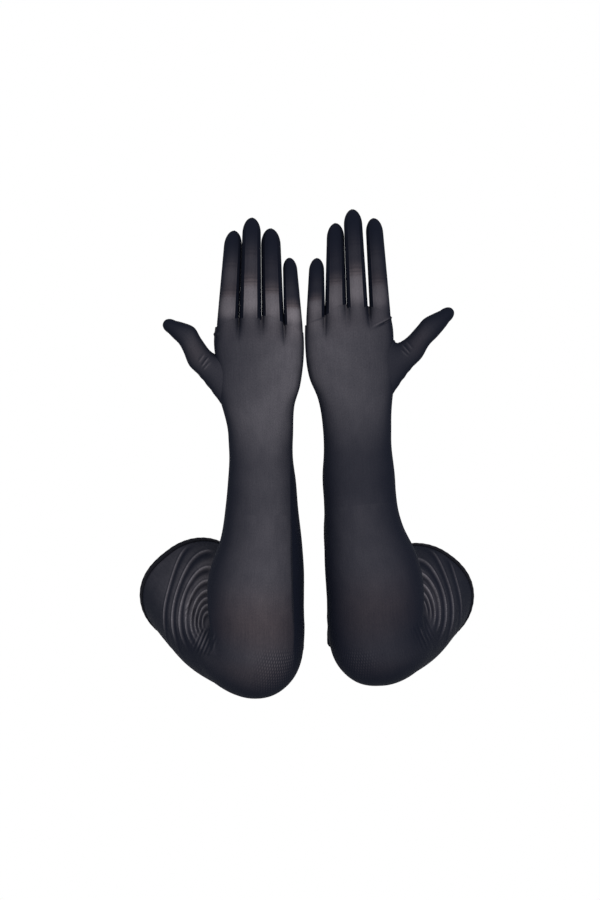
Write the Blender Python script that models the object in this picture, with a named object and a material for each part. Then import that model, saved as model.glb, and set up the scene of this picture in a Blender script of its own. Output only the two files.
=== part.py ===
"""A pair of sheer over-the-elbow gloves, standing as they are worn: forearms upright, elbows bent.

Every piece is a thin fabric panel. Each glove is worked out once as if it were on the +X side, with
the thumb outwards, and the wearer's right glove is the mirror image of that. A glove is cut where it
bends, at the elbow, wrist, thumb and finger joints, and along the seams between its panels.
"""

import math
from dataclasses import dataclass

import bpy
import numpy as np

MM = 0.001
WALL = 0.6 * MM  # fabric panel
GAP = 0.3 * MM  # left between neighbouring panels
ORIGIN = np.array([0.0, 127.0, 96.0]) * MM  # midway between the two arm openings

# Sleeve
ELBOW_RADIUS = 44 * MM
HEM_RADIUS = 47 * MM
UPPER_LENGTH = 145 * MM
HEM_WIDTH = 6 * MM
HEM_WALL = 1.4 * MM
WRIST_BAND = 13 * MM  # half the length of the stretch section at the wrist
CROOK_ROOM = 8 * MM  # half the gap between the two sleeve halves in the crook
EDGE_GAP = 0.9 * MM  # at the slanting edges of the elbow section
ELBOW_START = 3 * MM
SLEEVE_COLUMNS = 20
HEM_ROWS, UPPER_ROWS, ELBOW_ROWS, FOREARM_ROWS, WRIST_ROWS = 3, 5, 9, 8, 4

# Side seam of the forearm
SEAM_FOOT = 6 * MM
SEAM_TOP = 150 * MM
SEAM_WALL = 0.8 * MM
SEAM_STAND_OFF = 0.45 * MM
SEAM_HALF_STRIP = 0.02  # radians
SEAM_FOOT_ANGLE = math.radians(38)  # past the little-finger side, towards the front
SEAM_TURN = math.radians(26)  # how far it comes back on its way up

# Up the forearm from the elbow: height, half width, half depth, centre's shift outwards (mm).
FOREARM = np.array(
    [
        (0, 44, 44, 0),
        (32, 44, 42.5, 3),
        (74, 41, 38, 0.4),
        (96, 36.5, 34.5, -2.6),
        (129, 32, 28.5, -3.1),
        (150, 30.2, 25, -2.9),
        (172, 28.4, 22, -1.7),
        (191, 29, 20.5, -0.6),
        (204, 29.8, 20, 0),
    ]
).T * MM

# Up the hand from the wrist, the same four values.
HAND = np.array(
    [
        (0, 29.8, 20, 0),
        (14, 32, 19.5, 1),
        (32, 36.5, 18.5, 0),
        (52, 38.5, 17, -0.5),
        (72, 39.8, 15, 0),
        (93, 38.6, 12, -0.3),
    ]
).T * MM
HAND_SQUARENESS = 0.85  # below 1 the section is flatter across the back
PANEL_EDGE = 0.01  # radians that a panel keeps from the fold line
PANEL_TOP = 90 * MM
HAND_ROWS, HAND_COLUMNS = 9, 13

# Fingers: angles of the back and palm strips' edges, and the bend that the ends leave room for
STRIP_HALF_ANGLE = math.radians(38)
SEAM_HALF_ANGLE = math.radians(1.1)
BASE_FLEX = math.radians(80)
BASE_EXTEND = math.radians(15)
MIDDLE_FLEX = math.radians(90)
THUMB_FLEX = math.radians(70)
FINGER_COLUMNS = 12
STRIP_COLUMN = math.radians(30)
FINGER_ROWS, TIP_ROWS, GUSSET_ROWS = 3, 4, 5
FINGER_DEPTH = 0.92  # a finger's depth against its width
DOME_HEIGHT = 0.95  # a fingertip's rounded end against its half depth
TIP_TAPER = 0.88  # a fingertip's width against its middle joint's
DOME_ANGLES = (28, 54, 74)  # degrees up the rounded end, below its pole
MITRE_SHARE = 0.56  # a little over half the turn, for a clear gap
KNUCKLE_Y = -1 * MM
FINGERTIP_Y = 6 * MM

# Thumb
THUMB_PIVOT = np.array([38, 2, 42]) * MM
THUMB_START = np.array([52.5, 4, 61]) * MM
THUMB_RADIUS = 9.5 * MM
GUSSET_HALF_HEIGHT = 24 * MM
GUSSET_HALF_DEPTH = 10.5 * MM
GUSSET_STAND_OFF = 0.9 * MM
THUMB_PAD = (-0.35, 0.9, 0.25)  # the way that the pad faces
THUMB_HOLE_ANGLE = 0.58  # radians that each hand panel is cut back round the thumb
THUMB_HOLE_FOOT, THUMB_HOLE_TOP, THUMB_HOLE_EASE = 20 * MM, 66 * MM, 10 * MM

FABRIC_ROUGHNESS = 0.75
FABRIC = {
    "sheer": (0.045, 0.043, 0.05),
    "side_wall": (0.012, 0.013, 0.02),
    "hem": (0.006, 0.006, 0.009),
    "seam": (0.01, 0.01, 0.014),
}


@dataclass(frozen=True)
class Finger:
    """A finger in its hand's frame: distance out from and above the wrist's centre, in mm."""

    name: str
    base: tuple
    tip: tuple
    first: float  # from the base hinge to the middle hinge
    half_width: float
    back_wrap: bool = False  # the trank goes round the thumb side
    front_wrap: bool = False  # the trank goes round the little-finger side


@dataclass(frozen=True)
class Glove:
    name: str
    side: float  # +1 on the +X side, -1 on the -X side
    elbow: tuple  # out, up (mm)
    wrist: tuple
    upper_arm: tuple  # direction from the elbow to the arm opening: out, back, up
    hand_lean: float  # degrees outwards
    thumb_joint: tuple  # in the hand's frame (mm)
    thumb_tip: tuple
    fingers: tuple

    def frames(self):
        """The glove's reference points and directions on the +X side, as a dictionary."""
        elbow = np.array([self.elbow[0], 0, self.elbow[1]]) * MM
        wrist = np.array([self.wrist[0], 0, self.wrist[1]]) * MM
        upper = unit(self.upper_arm)
        fore = unit(wrist - elbow)
        axis = unit(np.cross(fore, upper))
        lean = math.radians(self.hand_lean)
        return {
            "elbow": elbow,
            "wrist": wrist,
            "upper": upper,
            "fore": fore,
            "axis": axis,
            "length": float(np.linalg.norm(wrist - elbow)),
            "crook_fore": np.cross(axis, fore),
            "crook_upper": np.cross(upper, axis),
            "across": np.cross([0, 1, 0], fore),
            "half_bend": math.acos(float(fore @ upper)) / 2,
            "hand": np.array(
                [
                    (math.cos(lean), 0, -math.sin(lean)),
                    (0, 1, 0),
                    (math.sin(lean), 0, math.cos(lean)),
                ]
            ),
        }


RIGHT = Glove(
    name="right",
    side=-1,
    elbow=(43, 44),
    wrist=(40.5, 248),
    upper_arm=(0.40, 0.84, 0.37),
    hand_lean=0,
    thumb_joint=(66.5, 5, 75.5),
    thumb_tip=(85, 7, 85.5),
    fingers=(
        Finger("index", (27.9, 90), (23, 172), 25.6, 8.6, back_wrap=True),
        Finger("middle", (7.8, 93), (6.3, 183.6), 33.4, 9.2),
        Finger("ring", (-12.4, 92), (-10.3, 174), 26.3, 8.6),
        Finger("little", (-30.1, 87), (-27.7, 147.5), 17, 7.6, front_wrap=True),
    ),
)
LEFT = Glove(
    name="left",
    side=1,
    elbow=(66, 54),
    wrist=(46.4, 257),
    upper_arm=(0.30, 0.91, 0.285),
    hand_lean=-3.3,
    thumb_joint=(70, 5, 74),
    thumb_tip=(91, 7, 83.5),
    fingers=(
        Finger("index", (27.9, 90), (26.5, 173), 25.6, 8.6, back_wrap=True),
        Finger("middle", (7.8, 93), (8.8, 182), 33.4, 9.2),
        Finger("ring", (-12.4, 92), (-8.2, 170.5), 26.3, 8.4),
        Finger("little", (-30.1, 87), (-26.3, 140), 17, 7.6, front_wrap=True),
    ),
)


def unit(vector):
    vector = np.asarray(vector, float)
    return vector / np.linalg.norm(vector)


def clear_scene():
    for obj in list(bpy.data.objects):
        bpy.data.objects.remove(obj, do_unlink=True)


def fabric(name):
    """One Principled material for each finish, made once."""
    material = bpy.data.materials.get(name)
    if material is None:
        material = bpy.data.materials.new(name)
        material.use_nodes = True
        surface = material.node_tree.nodes["Principled BSDF"]
        surface.inputs["Base Color"].default_value = (*FABRIC[name], 1)
        surface.inputs["Roughness"].default_value = FABRIC_ROUGHNESS
        surface.inputs["Metallic"].default_value = 0
    return material


def panel(glove, name, grid, pivot, finish="sheer", pole=None, wall=WALL, ring=True, outward=False):
    """A fabric panel: a grid of points (rows along it, columns round it) given a wall by Solidify.

    A ring closes on itself round the columns. A pole closes the last row to one point. The object's
    origin is the pivot that the panel turns about.
    """
    rows, columns = grid.shape[:2]
    points = grid.reshape(-1, 3)
    row = np.arange(rows - 1)[:, None] * columns
    column = np.arange(columns if ring else columns - 1)[None, :]
    after = (column + 1) % columns
    quads = np.stack(
        [row + column, row + after, row + columns + after, row + columns + column], axis=-1
    )
    faces = [tuple(int(i) for i in quad) for quad in quads.reshape(-1, 4)]
    if pole is not None:
        last = (rows - 1) * columns
        faces += [
            (last + int(i), last + int(j), len(points)) for i, j in zip(column[0], after[0])
        ]
        points = np.vstack([points, pole])
    if glove.side < 0:
        faces = [face[::-1] for face in faces]
    origin = to_row(glove, pivot)
    mesh = bpy.data.meshes.new(f"{glove.name}_{name}")
    mesh.from_pydata((to_row(glove, points) - origin).tolist(), [], faces)
    mesh.shade_smooth()
    mesh.materials.append(fabric(finish))
    obj = bpy.data.objects.new(mesh.name, mesh)
    obj.location = origin
    bpy.context.collection.objects.link(obj)
    thick = obj.modifiers.new("Fabric", "SOLIDIFY")
    thick.thickness = wall
    thick.offset = 1 if outward else -1
    thick.use_even_offset = True
    return obj


def to_row(glove, points):
    """Points of a +X glove, moved to the row's origin and mirrored for the -X glove."""
    return (np.asarray(points, float) * (glove.side, 1, 1)) - ORIGIN


def stations(table, height):
    """Half width, half depth and shift at a height, read off a table of stations."""
    return tuple(np.interp(height, table[0], table[k]) for k in (1, 2, 3))


def forearm_points(glove, height, angle):
    """Points round the forearm: angle 0 is the crook side, and it turns towards the elbow's axis."""
    f = glove.frames()
    crook = math.atan2(f["crook_fore"][1], f["crook_fore"] @ f["across"])
    half_width, half_depth, shift = stations(FOREARM, height * FOREARM[0, -1] / f["length"])
    out = shift + half_width * np.cos(angle + crook)
    back = half_depth * np.sin(angle + crook)
    return (
        f["elbow"]
        + height[..., None] * f["fore"]
        + out[..., None] * f["across"]
        + back[..., None] * np.array([0, 1, 0])
    )


def upper_points(glove, distance, angle, extra=0.0):
    """Points round the upper sleeve, a cone that widens a little to the arm opening."""
    f = glove.frames()
    radius = ELBOW_RADIUS + (HEM_RADIUS - ELBOW_RADIUS) * distance / UPPER_LENGTH + extra
    return (
        f["elbow"]
        + distance[..., None] * f["upper"]
        + (radius * np.cos(angle))[..., None] * f["crook_upper"]
        + (radius * np.sin(angle))[..., None] * f["axis"]
    )


def elbow_edge(glove, angle):
    """How far from the elbow each column of a sleeve half ends: early outside, late in the crook."""
    half = glove.frames()["half_bend"]
    inward = ELBOW_RADIUS * np.cos(angle)
    return np.maximum(
        ELBOW_START, (inward * math.cos(half) + CROOK_ROOM) / math.sin(half)
    )


def turns(columns):
    return np.arange(columns) * (2 * math.pi / columns)


def spread(start, end, rows):
    """Rows that run evenly from one value to another, for each column."""
    share = np.linspace(0, 1, rows)[:, None]
    return start + (end - start) * share


def make_sleeve(glove):
    f = glove.frames()
    angle = turns(SLEEVE_COLUMNS)[None, :]
    edge = elbow_edge(glove, angle)

    hem_start = UPPER_LENGTH - HEM_WIDTH
    hem = spread(np.full_like(angle, UPPER_LENGTH), hem_start + GAP, HEM_ROWS)
    panel(glove, "hem_band", upper_points(glove, hem, angle, HEM_WALL - WALL), f["elbow"], "hem",
          wall=HEM_WALL)
    upper = spread(np.full_like(angle, hem_start), edge + EDGE_GAP, UPPER_ROWS)
    panel(glove, "upper_sleeve", upper_points(glove, upper, angle), f["elbow"])

    # The stretch section follows a conic from one sleeve half's edge to the other's. Its middle
    # control point is where the two straight lines would meet.
    inward, along_axis = ELBOW_RADIUS * np.cos(angle), ELBOW_RADIUS * np.sin(angle)
    corner = (
        f["elbow"]
        + (inward / math.tan(f["half_bend"]))[..., None] * f["fore"]
        + inward[..., None] * f["crook_fore"]
        + along_axis[..., None] * f["axis"]
    )
    round_weight = math.sin(f["half_bend"])
    weight = round_weight + (1 - round_weight) * (np.cos(angle) + 1) / 2
    share = np.linspace(0, 1, ELBOW_ROWS)[:, None]
    parts = (1 - share) ** 2, 2 * share * (1 - share) * weight, share**2
    ends = upper_points(glove, edge, angle), corner, forearm_points(glove, edge, angle)
    section = sum(part[..., None] * end for part, end in zip(parts, ends)) / sum(parts)[..., None]
    panel(glove, "elbow_section", section, f["elbow"])

    wrist_start = f["length"] - WRIST_BAND
    height = spread(edge + EDGE_GAP, np.full_like(angle, wrist_start - GAP), FOREARM_ROWS)
    panel(glove, "forearm_sleeve", forearm_points(glove, height, angle), f["elbow"])

    low = forearm_points(glove, np.full_like(angle, wrist_start), angle)
    crook = math.atan2(f["crook_fore"][1], f["crook_fore"] @ f["across"])
    high = hand_points(glove, np.full_like(angle, WRIST_BAND - GAP), angle + crook)
    share = np.linspace(0, 1, WRIST_ROWS)[:, None, None]
    panel(glove, "wrist_section", low + (high - low) * share, f["wrist"])


def make_side_seam(glove):
    """A raised seam up the little-finger side of the forearm, nearer the front at the elbow."""
    f = glove.frames()
    crook = math.atan2(f["crook_fore"][1], f["crook_fore"] @ f["across"])
    height = np.linspace(SEAM_FOOT, SEAM_TOP, HAND_COLUMNS)[:, None]
    centre = math.pi + SEAM_FOOT_ANGLE - SEAM_TURN * height / SEAM_TOP - crook
    angle = centre + np.array([[-SEAM_HALF_STRIP, SEAM_HALF_STRIP]])
    line = forearm_points(glove, np.broadcast_to(height, angle.shape), angle)
    middle = f["elbow"] + height[..., None] * f["fore"]
    away = line - middle
    away /= np.linalg.norm(away, axis=-1, keepdims=True)
    panel(glove, "side_seam", line + away * SEAM_STAND_OFF, f["elbow"], "seam", wall=SEAM_WALL,
          ring=False, outward=True)


def hand_points(glove, height, angle):
    """Points round the hand: angle 0 is the thumb side, and a quarter turn is the palm."""
    f = glove.frames()
    half_width, half_depth, shift = stations(HAND, height)
    cos, sin = np.cos(angle), np.sin(angle)
    out = shift + half_width * np.sign(cos) * np.abs(cos) ** HAND_SQUARENESS
    back = half_depth * np.sign(sin) * np.abs(sin) ** HAND_SQUARENESS
    local = np.stack(np.broadcast_arrays(out, back, height), axis=-1)
    return f["wrist"] + local @ f["hand"]


def notch(inward, flex, extend):
    """How far from a hinge a panel ends, so that it clears its neighbour over the hinge's range."""
    bend = np.maximum(inward, 0) * math.tan(flex / 2)
    straighten = np.maximum(-inward, 0) * math.tan(extend / 2)
    return GAP / 2 + bend + straighten


def make_hand(glove):
    """The back and the palm, each ending below the finger bases and cut away round the thumb."""
    f = glove.frames()
    names, spans = ("hand_palm", "hand_back"), ((0, math.pi), (2 * math.pi, math.pi))
    bases = sorted(finger.base for finger in glove.fingers)
    share = np.linspace(0, 1, HAND_ROWS)[:, None]
    for name, (thumb_side, little_side) in zip(names, spans):
        turn = np.sign(little_side - thumb_side)
        height = np.broadcast_to(share * PANEL_TOP, (HAND_ROWS, HAND_COLUMNS))
        for _ in range(2):  # the edge's place depends on the angle, and the angle on the height
            rise = np.clip((height - THUMB_HOLE_FOOT) / THUMB_HOLE_EASE, 0, 1)
            fall = np.clip((THUMB_HOLE_TOP - height) / THUMB_HOLE_EASE, 0, 1)
            cut = THUMB_HOLE_ANGLE * rise * fall
            start = thumb_side + turn * (PANEL_EDGE + cut)
            end = little_side - turn * PANEL_EDGE
            angle = start + (end - start) * np.linspace(0, 1, HAND_COLUMNS)
            edge = hand_points(glove, np.full_like(angle, PANEL_TOP), angle) - f["wrist"]
            out, back = edge @ f["hand"][0], edge @ f["hand"][1]
            web = np.interp(out, [b[0] * MM for b in bases], [b[1] * MM for b in bases])
            top = web - notch(back, BASE_FLEX, BASE_EXTEND)
            height = WRIST_BAND + (top - WRIST_BAND) * share
        grid = hand_points(glove, height, angle)
        panel(glove, name, grid if turn > 0 else grid[:, ::-1], f["wrist"], ring=False)


def segment_frame(start, end, palm):
    """Across, palmwards and along directions of a finger segment, as rows, and its length."""
    along = unit(end - start)
    palm = unit(palm - (palm @ along) * along)
    return np.array([np.cross(palm, along), palm, along]), float(np.linalg.norm(end - start))


def segment_grid(glove, start, axes, along, angle, half_width, half_depth):
    """Points round a straight segment, in the hand's frame and then in the glove's."""
    f = glove.frames()
    local = np.stack(
        np.broadcast_arrays(half_width * np.cos(angle), half_depth * np.sin(angle), along), axis=-1
    )
    return f["wrist"] + (start + local @ axes) @ f["hand"]


def mitre(axes, angle, radius, turn):
    """What a segment's end loses on the side that the path turns to, where turn is the change in
    its direction."""
    offset = np.cos(angle)[..., None] * axes[0] + np.sin(angle)[..., None] * axes[1]
    return radius * np.maximum(offset @ turn, 0) * MITRE_SHARE


def closed_tip(glove, name, start, end, palm, half_width, half_depth, flex, pivot, turn=(0, 0, 0)):
    """A tapering tube from a hinge to a rounded closed end."""
    axes, length = segment_frame(start, end, palm)
    angle = turns(FINGER_COLUMNS)[None, :]
    dome = half_depth * DOME_HEIGHT
    begin = notch(half_depth * np.sin(angle), flex, 0) + mitre(axes, angle, half_width, turn)
    straight = spread(begin, length - dome, TIP_ROWS)
    rise = np.radians(DOME_ANGLES)[:, None]
    round_end = np.broadcast_to(length - dome + dome * np.sin(rise), (len(rise), FINGER_COLUMNS))
    along = np.vstack([straight, round_end])
    taper = np.vstack([np.linspace(1, TIP_TAPER, TIP_ROWS)[:, None], TIP_TAPER * np.cos(rise)])
    grid = segment_grid(glove, start, axes, along, angle, half_width * taper, half_depth * taper)
    f = glove.frames()
    panel(glove, name, grid, pivot, pole=f["wrist"] + end @ f["hand"])


def finger_points(finger):
    """The finger's base hinge, middle hinge and tip in the hand's frame."""
    base = np.array([finger.base[0], 0, finger.base[1]]) * MM
    tip = np.array([finger.tip[0] * MM, FINGERTIP_Y, finger.tip[1] * MM])
    share = finger.first / (finger.tip[1] - finger.base[1])
    middle = base + (tip - base) * share
    middle[1] = KNUCKLE_Y
    return base, middle, tip


def finger_strips(finger):
    """(name, from angle, to angle, finish) of the panels round a finger's first segment."""
    edge, seam, half_turn = STRIP_HALF_ANGLE, SEAM_HALF_ANGLE, math.pi / 2
    back = (-half_turn - edge, -half_turn + edge)
    palm = (half_turn - edge, half_turn + edge)
    thumb_side = (back[1] + seam, palm[0] - seam, "side_wall")
    little_side = (palm[1] + seam, back[0] + 2 * math.pi - seam, "side_wall")
    if finger.back_wrap:
        return (("wrap", back[0] + seam, palm[1] - seam, "sheer"), ("side_wall", *little_side))
    if finger.front_wrap:
        wrap = ("wrap", palm[0] + seam, back[1] + 2 * math.pi - seam, "sheer")
        return (wrap, ("side_wall", *thumb_side))
    return (
        ("back", back[0] + seam, back[1] - seam, "sheer"),
        ("palm", palm[0] + seam, palm[1] - seam, "sheer"),
        ("thumb_side_wall", *thumb_side),
        ("little_side_wall", *little_side),
    )


def make_finger(glove, finger):
    f = glove.frames()
    base, middle, tip = finger_points(finger)
    half_width = finger.half_width * MM
    half_depth = half_width * FINGER_DEPTH
    palm = np.array([0.0, 1.0, 0.0])
    axes, length = segment_frame(base, middle, palm)
    base_pivot, middle_pivot = f["wrist"] + base @ f["hand"], f["wrist"] + middle @ f["hand"]
    for name, first, last, finish in finger_strips(finger):
        columns = 2 + math.ceil((last - first) / STRIP_COLUMN)
        angle = np.linspace(first, last, columns)[None, :]
        inward = half_depth * np.sin(angle)
        begin = notch(inward, BASE_FLEX, BASE_EXTEND)
        finish_at = length - notch(inward, MIDDLE_FLEX, 0)
        grid = segment_grid(
            glove, base, axes, spread(begin, finish_at, FINGER_ROWS), angle, half_width, half_depth
        )
        panel(glove, f"{finger.name}_{name}", grid, base_pivot, finish, ring=False)
    closed_tip(glove, f"{finger.name}_tip", middle, tip, palm, half_width, half_depth,
               MIDDLE_FLEX, middle_pivot)


def thumb_directions(glove):
    """The thumb's three points and the way that its pad faces, in the hand's frame."""
    joint, tip = np.array(glove.thumb_joint) * MM, np.array(glove.thumb_tip) * MM
    return THUMB_START, joint, tip, unit(THUMB_PAD)


def make_thumb(glove):
    """The gusset spreads from the thumb onto the hand's edge, and the thumb has two segments."""
    f = glove.frames()
    start, joint, tip, pad = thumb_directions(glove)
    pivot = f["wrist"] + THUMB_PIVOT @ f["hand"]
    round_foot = turns(FINGER_COLUMNS)
    height = THUMB_PIVOT[2] + GUSSET_HALF_HEIGHT * np.sin(round_foot)
    depth = GUSSET_HALF_DEPTH * np.cos(round_foot)
    half_width, half_depth, shift = stations(HAND, height)
    power = 2 / HAND_SQUARENESS
    rest = 1 - np.abs(depth / half_depth) ** power
    out = shift + half_width * rest ** (1 / power) + GUSSET_STAND_OFF
    foot = f["wrist"] + np.stack([out, depth, height], axis=-1) @ f["hand"]

    axes, length = segment_frame(start, joint, pad)
    up = np.cross(axes[2], [0, 1, 0])
    upright = np.array([unit(np.cross(up, axes[2])), up, axes[2]])
    ring = segment_grid(glove, start, upright, 0.0, round_foot, THUMB_RADIUS, THUMB_RADIUS)
    share = np.linspace(0, 1, GUSSET_ROWS)[:, None, None]
    narrow = share * (2 - share)  # narrows quickly near the hand, as a gusset does
    centre = foot.mean(axis=0) + (ring.mean(axis=0) - foot.mean(axis=0)) * share
    shape = (foot - foot.mean(axis=0)) * (1 - narrow) + (ring - ring.mean(axis=0)) * narrow
    gusset = centre + shape
    panel(glove, "thumb_gusset", gusset, pivot)

    angle = turns(FINGER_COLUMNS)[None, :]
    inward = THUMB_RADIUS * np.sin(angle)
    turn = unit(tip - joint) - axes[2]
    end_at = length - notch(inward, THUMB_FLEX, 0) - mitre(axes, angle, THUMB_RADIUS, turn)
    along = spread(np.full_like(angle, 2 * GAP), end_at, FINGER_ROWS)
    grid = segment_grid(glove, start, axes, along, angle, THUMB_RADIUS, THUMB_RADIUS)
    panel(glove, "thumb_base", grid, pivot)
    closed_tip(glove, "thumb_tip", joint, tip, pad, THUMB_RADIUS, THUMB_RADIUS, THUMB_FLEX,
               f["wrist"] + joint @ f["hand"], turn)


def make_glove(glove):
    make_sleeve(glove)
    make_side_seam(glove)
    make_hand(glove)
    for finger in glove.fingers:
        make_finger(glove, finger)
    make_thumb(glove)


def main():
    clear_scene()
    for glove in (RIGHT, LEFT):
        make_glove(glove)


main()
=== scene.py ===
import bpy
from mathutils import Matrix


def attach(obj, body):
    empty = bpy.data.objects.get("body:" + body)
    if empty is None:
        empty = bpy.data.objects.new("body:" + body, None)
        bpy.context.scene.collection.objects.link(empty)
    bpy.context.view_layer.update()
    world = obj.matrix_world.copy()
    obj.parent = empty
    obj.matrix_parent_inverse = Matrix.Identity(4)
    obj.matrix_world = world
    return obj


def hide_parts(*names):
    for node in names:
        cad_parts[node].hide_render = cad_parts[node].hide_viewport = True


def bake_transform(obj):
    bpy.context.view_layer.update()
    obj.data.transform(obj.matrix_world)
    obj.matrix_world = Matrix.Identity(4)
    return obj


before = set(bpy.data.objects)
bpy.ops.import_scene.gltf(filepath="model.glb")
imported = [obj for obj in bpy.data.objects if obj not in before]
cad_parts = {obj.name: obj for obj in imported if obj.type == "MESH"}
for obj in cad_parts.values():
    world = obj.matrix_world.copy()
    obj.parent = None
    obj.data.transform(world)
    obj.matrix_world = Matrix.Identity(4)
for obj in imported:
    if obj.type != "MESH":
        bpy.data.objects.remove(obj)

# A pair of sheer opera gloves in worn shape: the knitted surfaces, seams, hems, finishes, floor,
# lights and camera. Each glove is worked out as if it were on the +X side with its thumb outwards,
# and the wearer's right glove is mirrored. Lengths are in metres.

import copy
import logging
import math
from dataclasses import dataclass
from enum import Enum
from typing import Optional, Sequence

import bmesh
import bpy
import numpy as np

LOG = logging.getLogger("gloves")
MM = 0.001
ORIGIN = np.array([0.0, 127.0, 96.0]) * MM
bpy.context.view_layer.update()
Array = np.ndarray


class Slot(Enum):
    """The record's material slots."""

    KNIT = "sheer_knit"
    SIDE_WALL = "side_wall"
    HEM = "hem_band"
    SEAM = "seam"


def unit(vector: Sequence[float]) -> Array:
    """The vector at length 1."""
    vector = np.asarray(vector, float)
    return vector / np.linalg.norm(vector)


def smoothstep(low: float, high: float, value: Array) -> Array:
    """A smooth ramp from 0 at low to 1 at high."""
    share = np.clip((np.asarray(value, float) - low) / (high - low), 0, 1)
    return share * share * (3 - 2 * share)


def ridge(distance: Array, width: float) -> Array:
    """A bell-shaped crest of that half width round distance 0."""
    return np.exp(-((distance / width) ** 2))


def curve_through(at: Array, places: Sequence[float], values: Array) -> Array:
    """A smooth curve (cubic Hermite, with slopes from the neighbouring points).

    Args:
        at: where to read it.
        places: rising positions of the points.
        values: one value or one array for each point, along the first axis.

    Returns:
        The values at those positions.
    """
    places, values = np.asarray(places, float), np.asarray(values, float)
    slope = np.gradient(values, places, axis=0)
    k = np.clip(np.searchsorted(places, at, side="right") - 1, 0, len(places) - 2)
    span = places[k + 1] - places[k]
    t = np.clip((at - places[k]) / span, 0, 1)
    shape = np.shape(at) + (1,) * (values.ndim - 1)
    t, span = t.reshape(shape), span.reshape(shape)
    return (
        values[k] * (1 + 2 * t) * (1 - t) ** 2
        + values[k + 1] * t * t * (3 - 2 * t)
        + span * (slope[k] * t * (1 - t) ** 2 - slope[k + 1] * t * t * (1 - t))
    )


def beside_line(
    x: Array, z: Array, start: tuple[float, float], end: tuple[float, float]
) -> tuple[Array, Array]:
    """Where points of a plane lie beside a line.

    Args:
        x: places across.
        z: places up.
        start: the line's start, across and up.
        end: its end.

    Returns:
        The distance from the line, positive above it, and how far along it from 0 to 1.
    """
    along = np.array(end) - np.array(start)
    length = float(np.hypot(*along))
    along = along / length
    run = ((x - start[0]) * along[0] + (z - start[1]) * along[1]) / length
    off = (x - start[0]) * along[1] - (z - start[1]) * along[0]
    return (off if along[0] < 0 else -off), run


# ---------------------------------------------------------------- finishes


@dataclass(frozen=True)
class Knit:
    """Fine stretch knit: dark yarn over what lies under it, which shows more where it is stretched.

    The share that shows through falls towards the edges of a form, because there one looks through
    the knit at a slant, and it is read from the mesh attribute "sheer", which also carries the painted
    highlights and painted shade of folds, creases and the fingers' side walls, and painted light on one
    side of the forearm and hand.
    """

    name: str
    yarn: tuple[float, float, float]
    cool: tuple[float, float, float]
    warm: tuple[float, float, float]
    roughness: float = 0.85
    gloss: float = 0.04
    wale: float = 0.9 * MM
    mesh_pitch: float = 2.1 * MM

    def build(self) -> bpy.types.Material:
        """Makes the material once and returns it.

        Returns:
            The material.
        """
        made = bpy.data.materials.get(self.name)
        if made is not None:
            return made
        made = bpy.data.materials.new(self.name)
        made.use_nodes = True
        tree = made.node_tree
        tree.nodes.clear()
        tools = NodeTools(tree)
        surface = tools.node("ShaderNodeBsdfPrincipled")
        output = tools.node("ShaderNodeOutputMaterial")
        tree.links.new(surface.outputs["BSDF"], output.inputs["Surface"])

        uv = tools.node("ShaderNodeUVMap", uv_map="UVMap").outputs["UV"]
        sheer = tools.node("ShaderNodeAttribute", attribute_name="sheer").outputs["Fac"]
        warmth = tools.node("ShaderNodeAttribute", attribute_name="warm").outputs["Fac"]
        weave = tools.node("ShaderNodeAttribute", attribute_name="weave").outputs["Fac"]

        streaks = tools.noise(uv, (1 / self.wale * 0.8, 45, 1), 3.0)
        blotches = tools.noise(uv, (70, 55, 1), 2.0)
        mesh_a = tools.bands(uv, math.radians(38), self.mesh_pitch)
        mesh_b = tools.bands(uv, math.radians(-52), self.mesh_pitch * 0.8)
        mesh = tools.math("MULTIPLY", mesh_a, mesh_b)
        stitches = tools.bands(uv, 0.0, self.wale)

        streaked = tools.math("MULTIPLY_ADD", streaks, 0.40, 0.80)
        mottled = tools.math("MULTIPLY_ADD", blotches, 0.50, 0.75)
        fine = tools.math("MULTIPLY_ADD", stitches, 0.10, 0.95)
        grain = tools.math("MULTIPLY_ADD", tools.noise(uv, (750, 620, 1), 2.0), 0.55, 0.725)
        open_mesh = tools.math("MULTIPLY", tools.math("MULTIPLY_ADD", mesh, 1.5, -0.38), weave)
        share = tools.math("MULTIPLY", sheer, streaked)
        share = tools.math("MULTIPLY", share, mottled)
        share = tools.math("MULTIPLY", share, fine)
        share = tools.math("MULTIPLY", share, grain)
        share = tools.math("MULTIPLY", share, tools.math("ADD", open_mesh, 1.0))
        share = tools.math("MINIMUM", tools.math("MAXIMUM", share, 0.0005), 0.95)

        facing = tools.node("ShaderNodeLayerWeight")
        facing.inputs["Blend"].default_value = 0.5
        cosine = tools.math("SUBTRACT", 1.0, facing.outputs["Facing"])
        slant = tools.math("DIVIDE", 1.0, tools.math("MAXIMUM", cosine, 0.12))
        through = tools.math("POWER", share, slant)

        under = tools.mix(warmth, self.cool, self.warm)
        colour = tools.mix(through, self.yarn, under)
        tree.links.new(colour, surface.inputs["Base Color"])

        bump = tools.node("ShaderNodeBump")
        bump.inputs["Strength"].default_value = 0.35
        bump.inputs["Distance"].default_value = 0.12 * MM
        tree.links.new(tools.math("MULTIPLY_ADD", stitches, 0.6, mesh), bump.inputs["Height"])
        tree.links.new(bump.outputs["Normal"], surface.inputs["Normal"])

        surface.inputs["Roughness"].default_value = self.roughness
        surface.inputs["Specular IOR Level"].default_value = self.gloss
        return made


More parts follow.
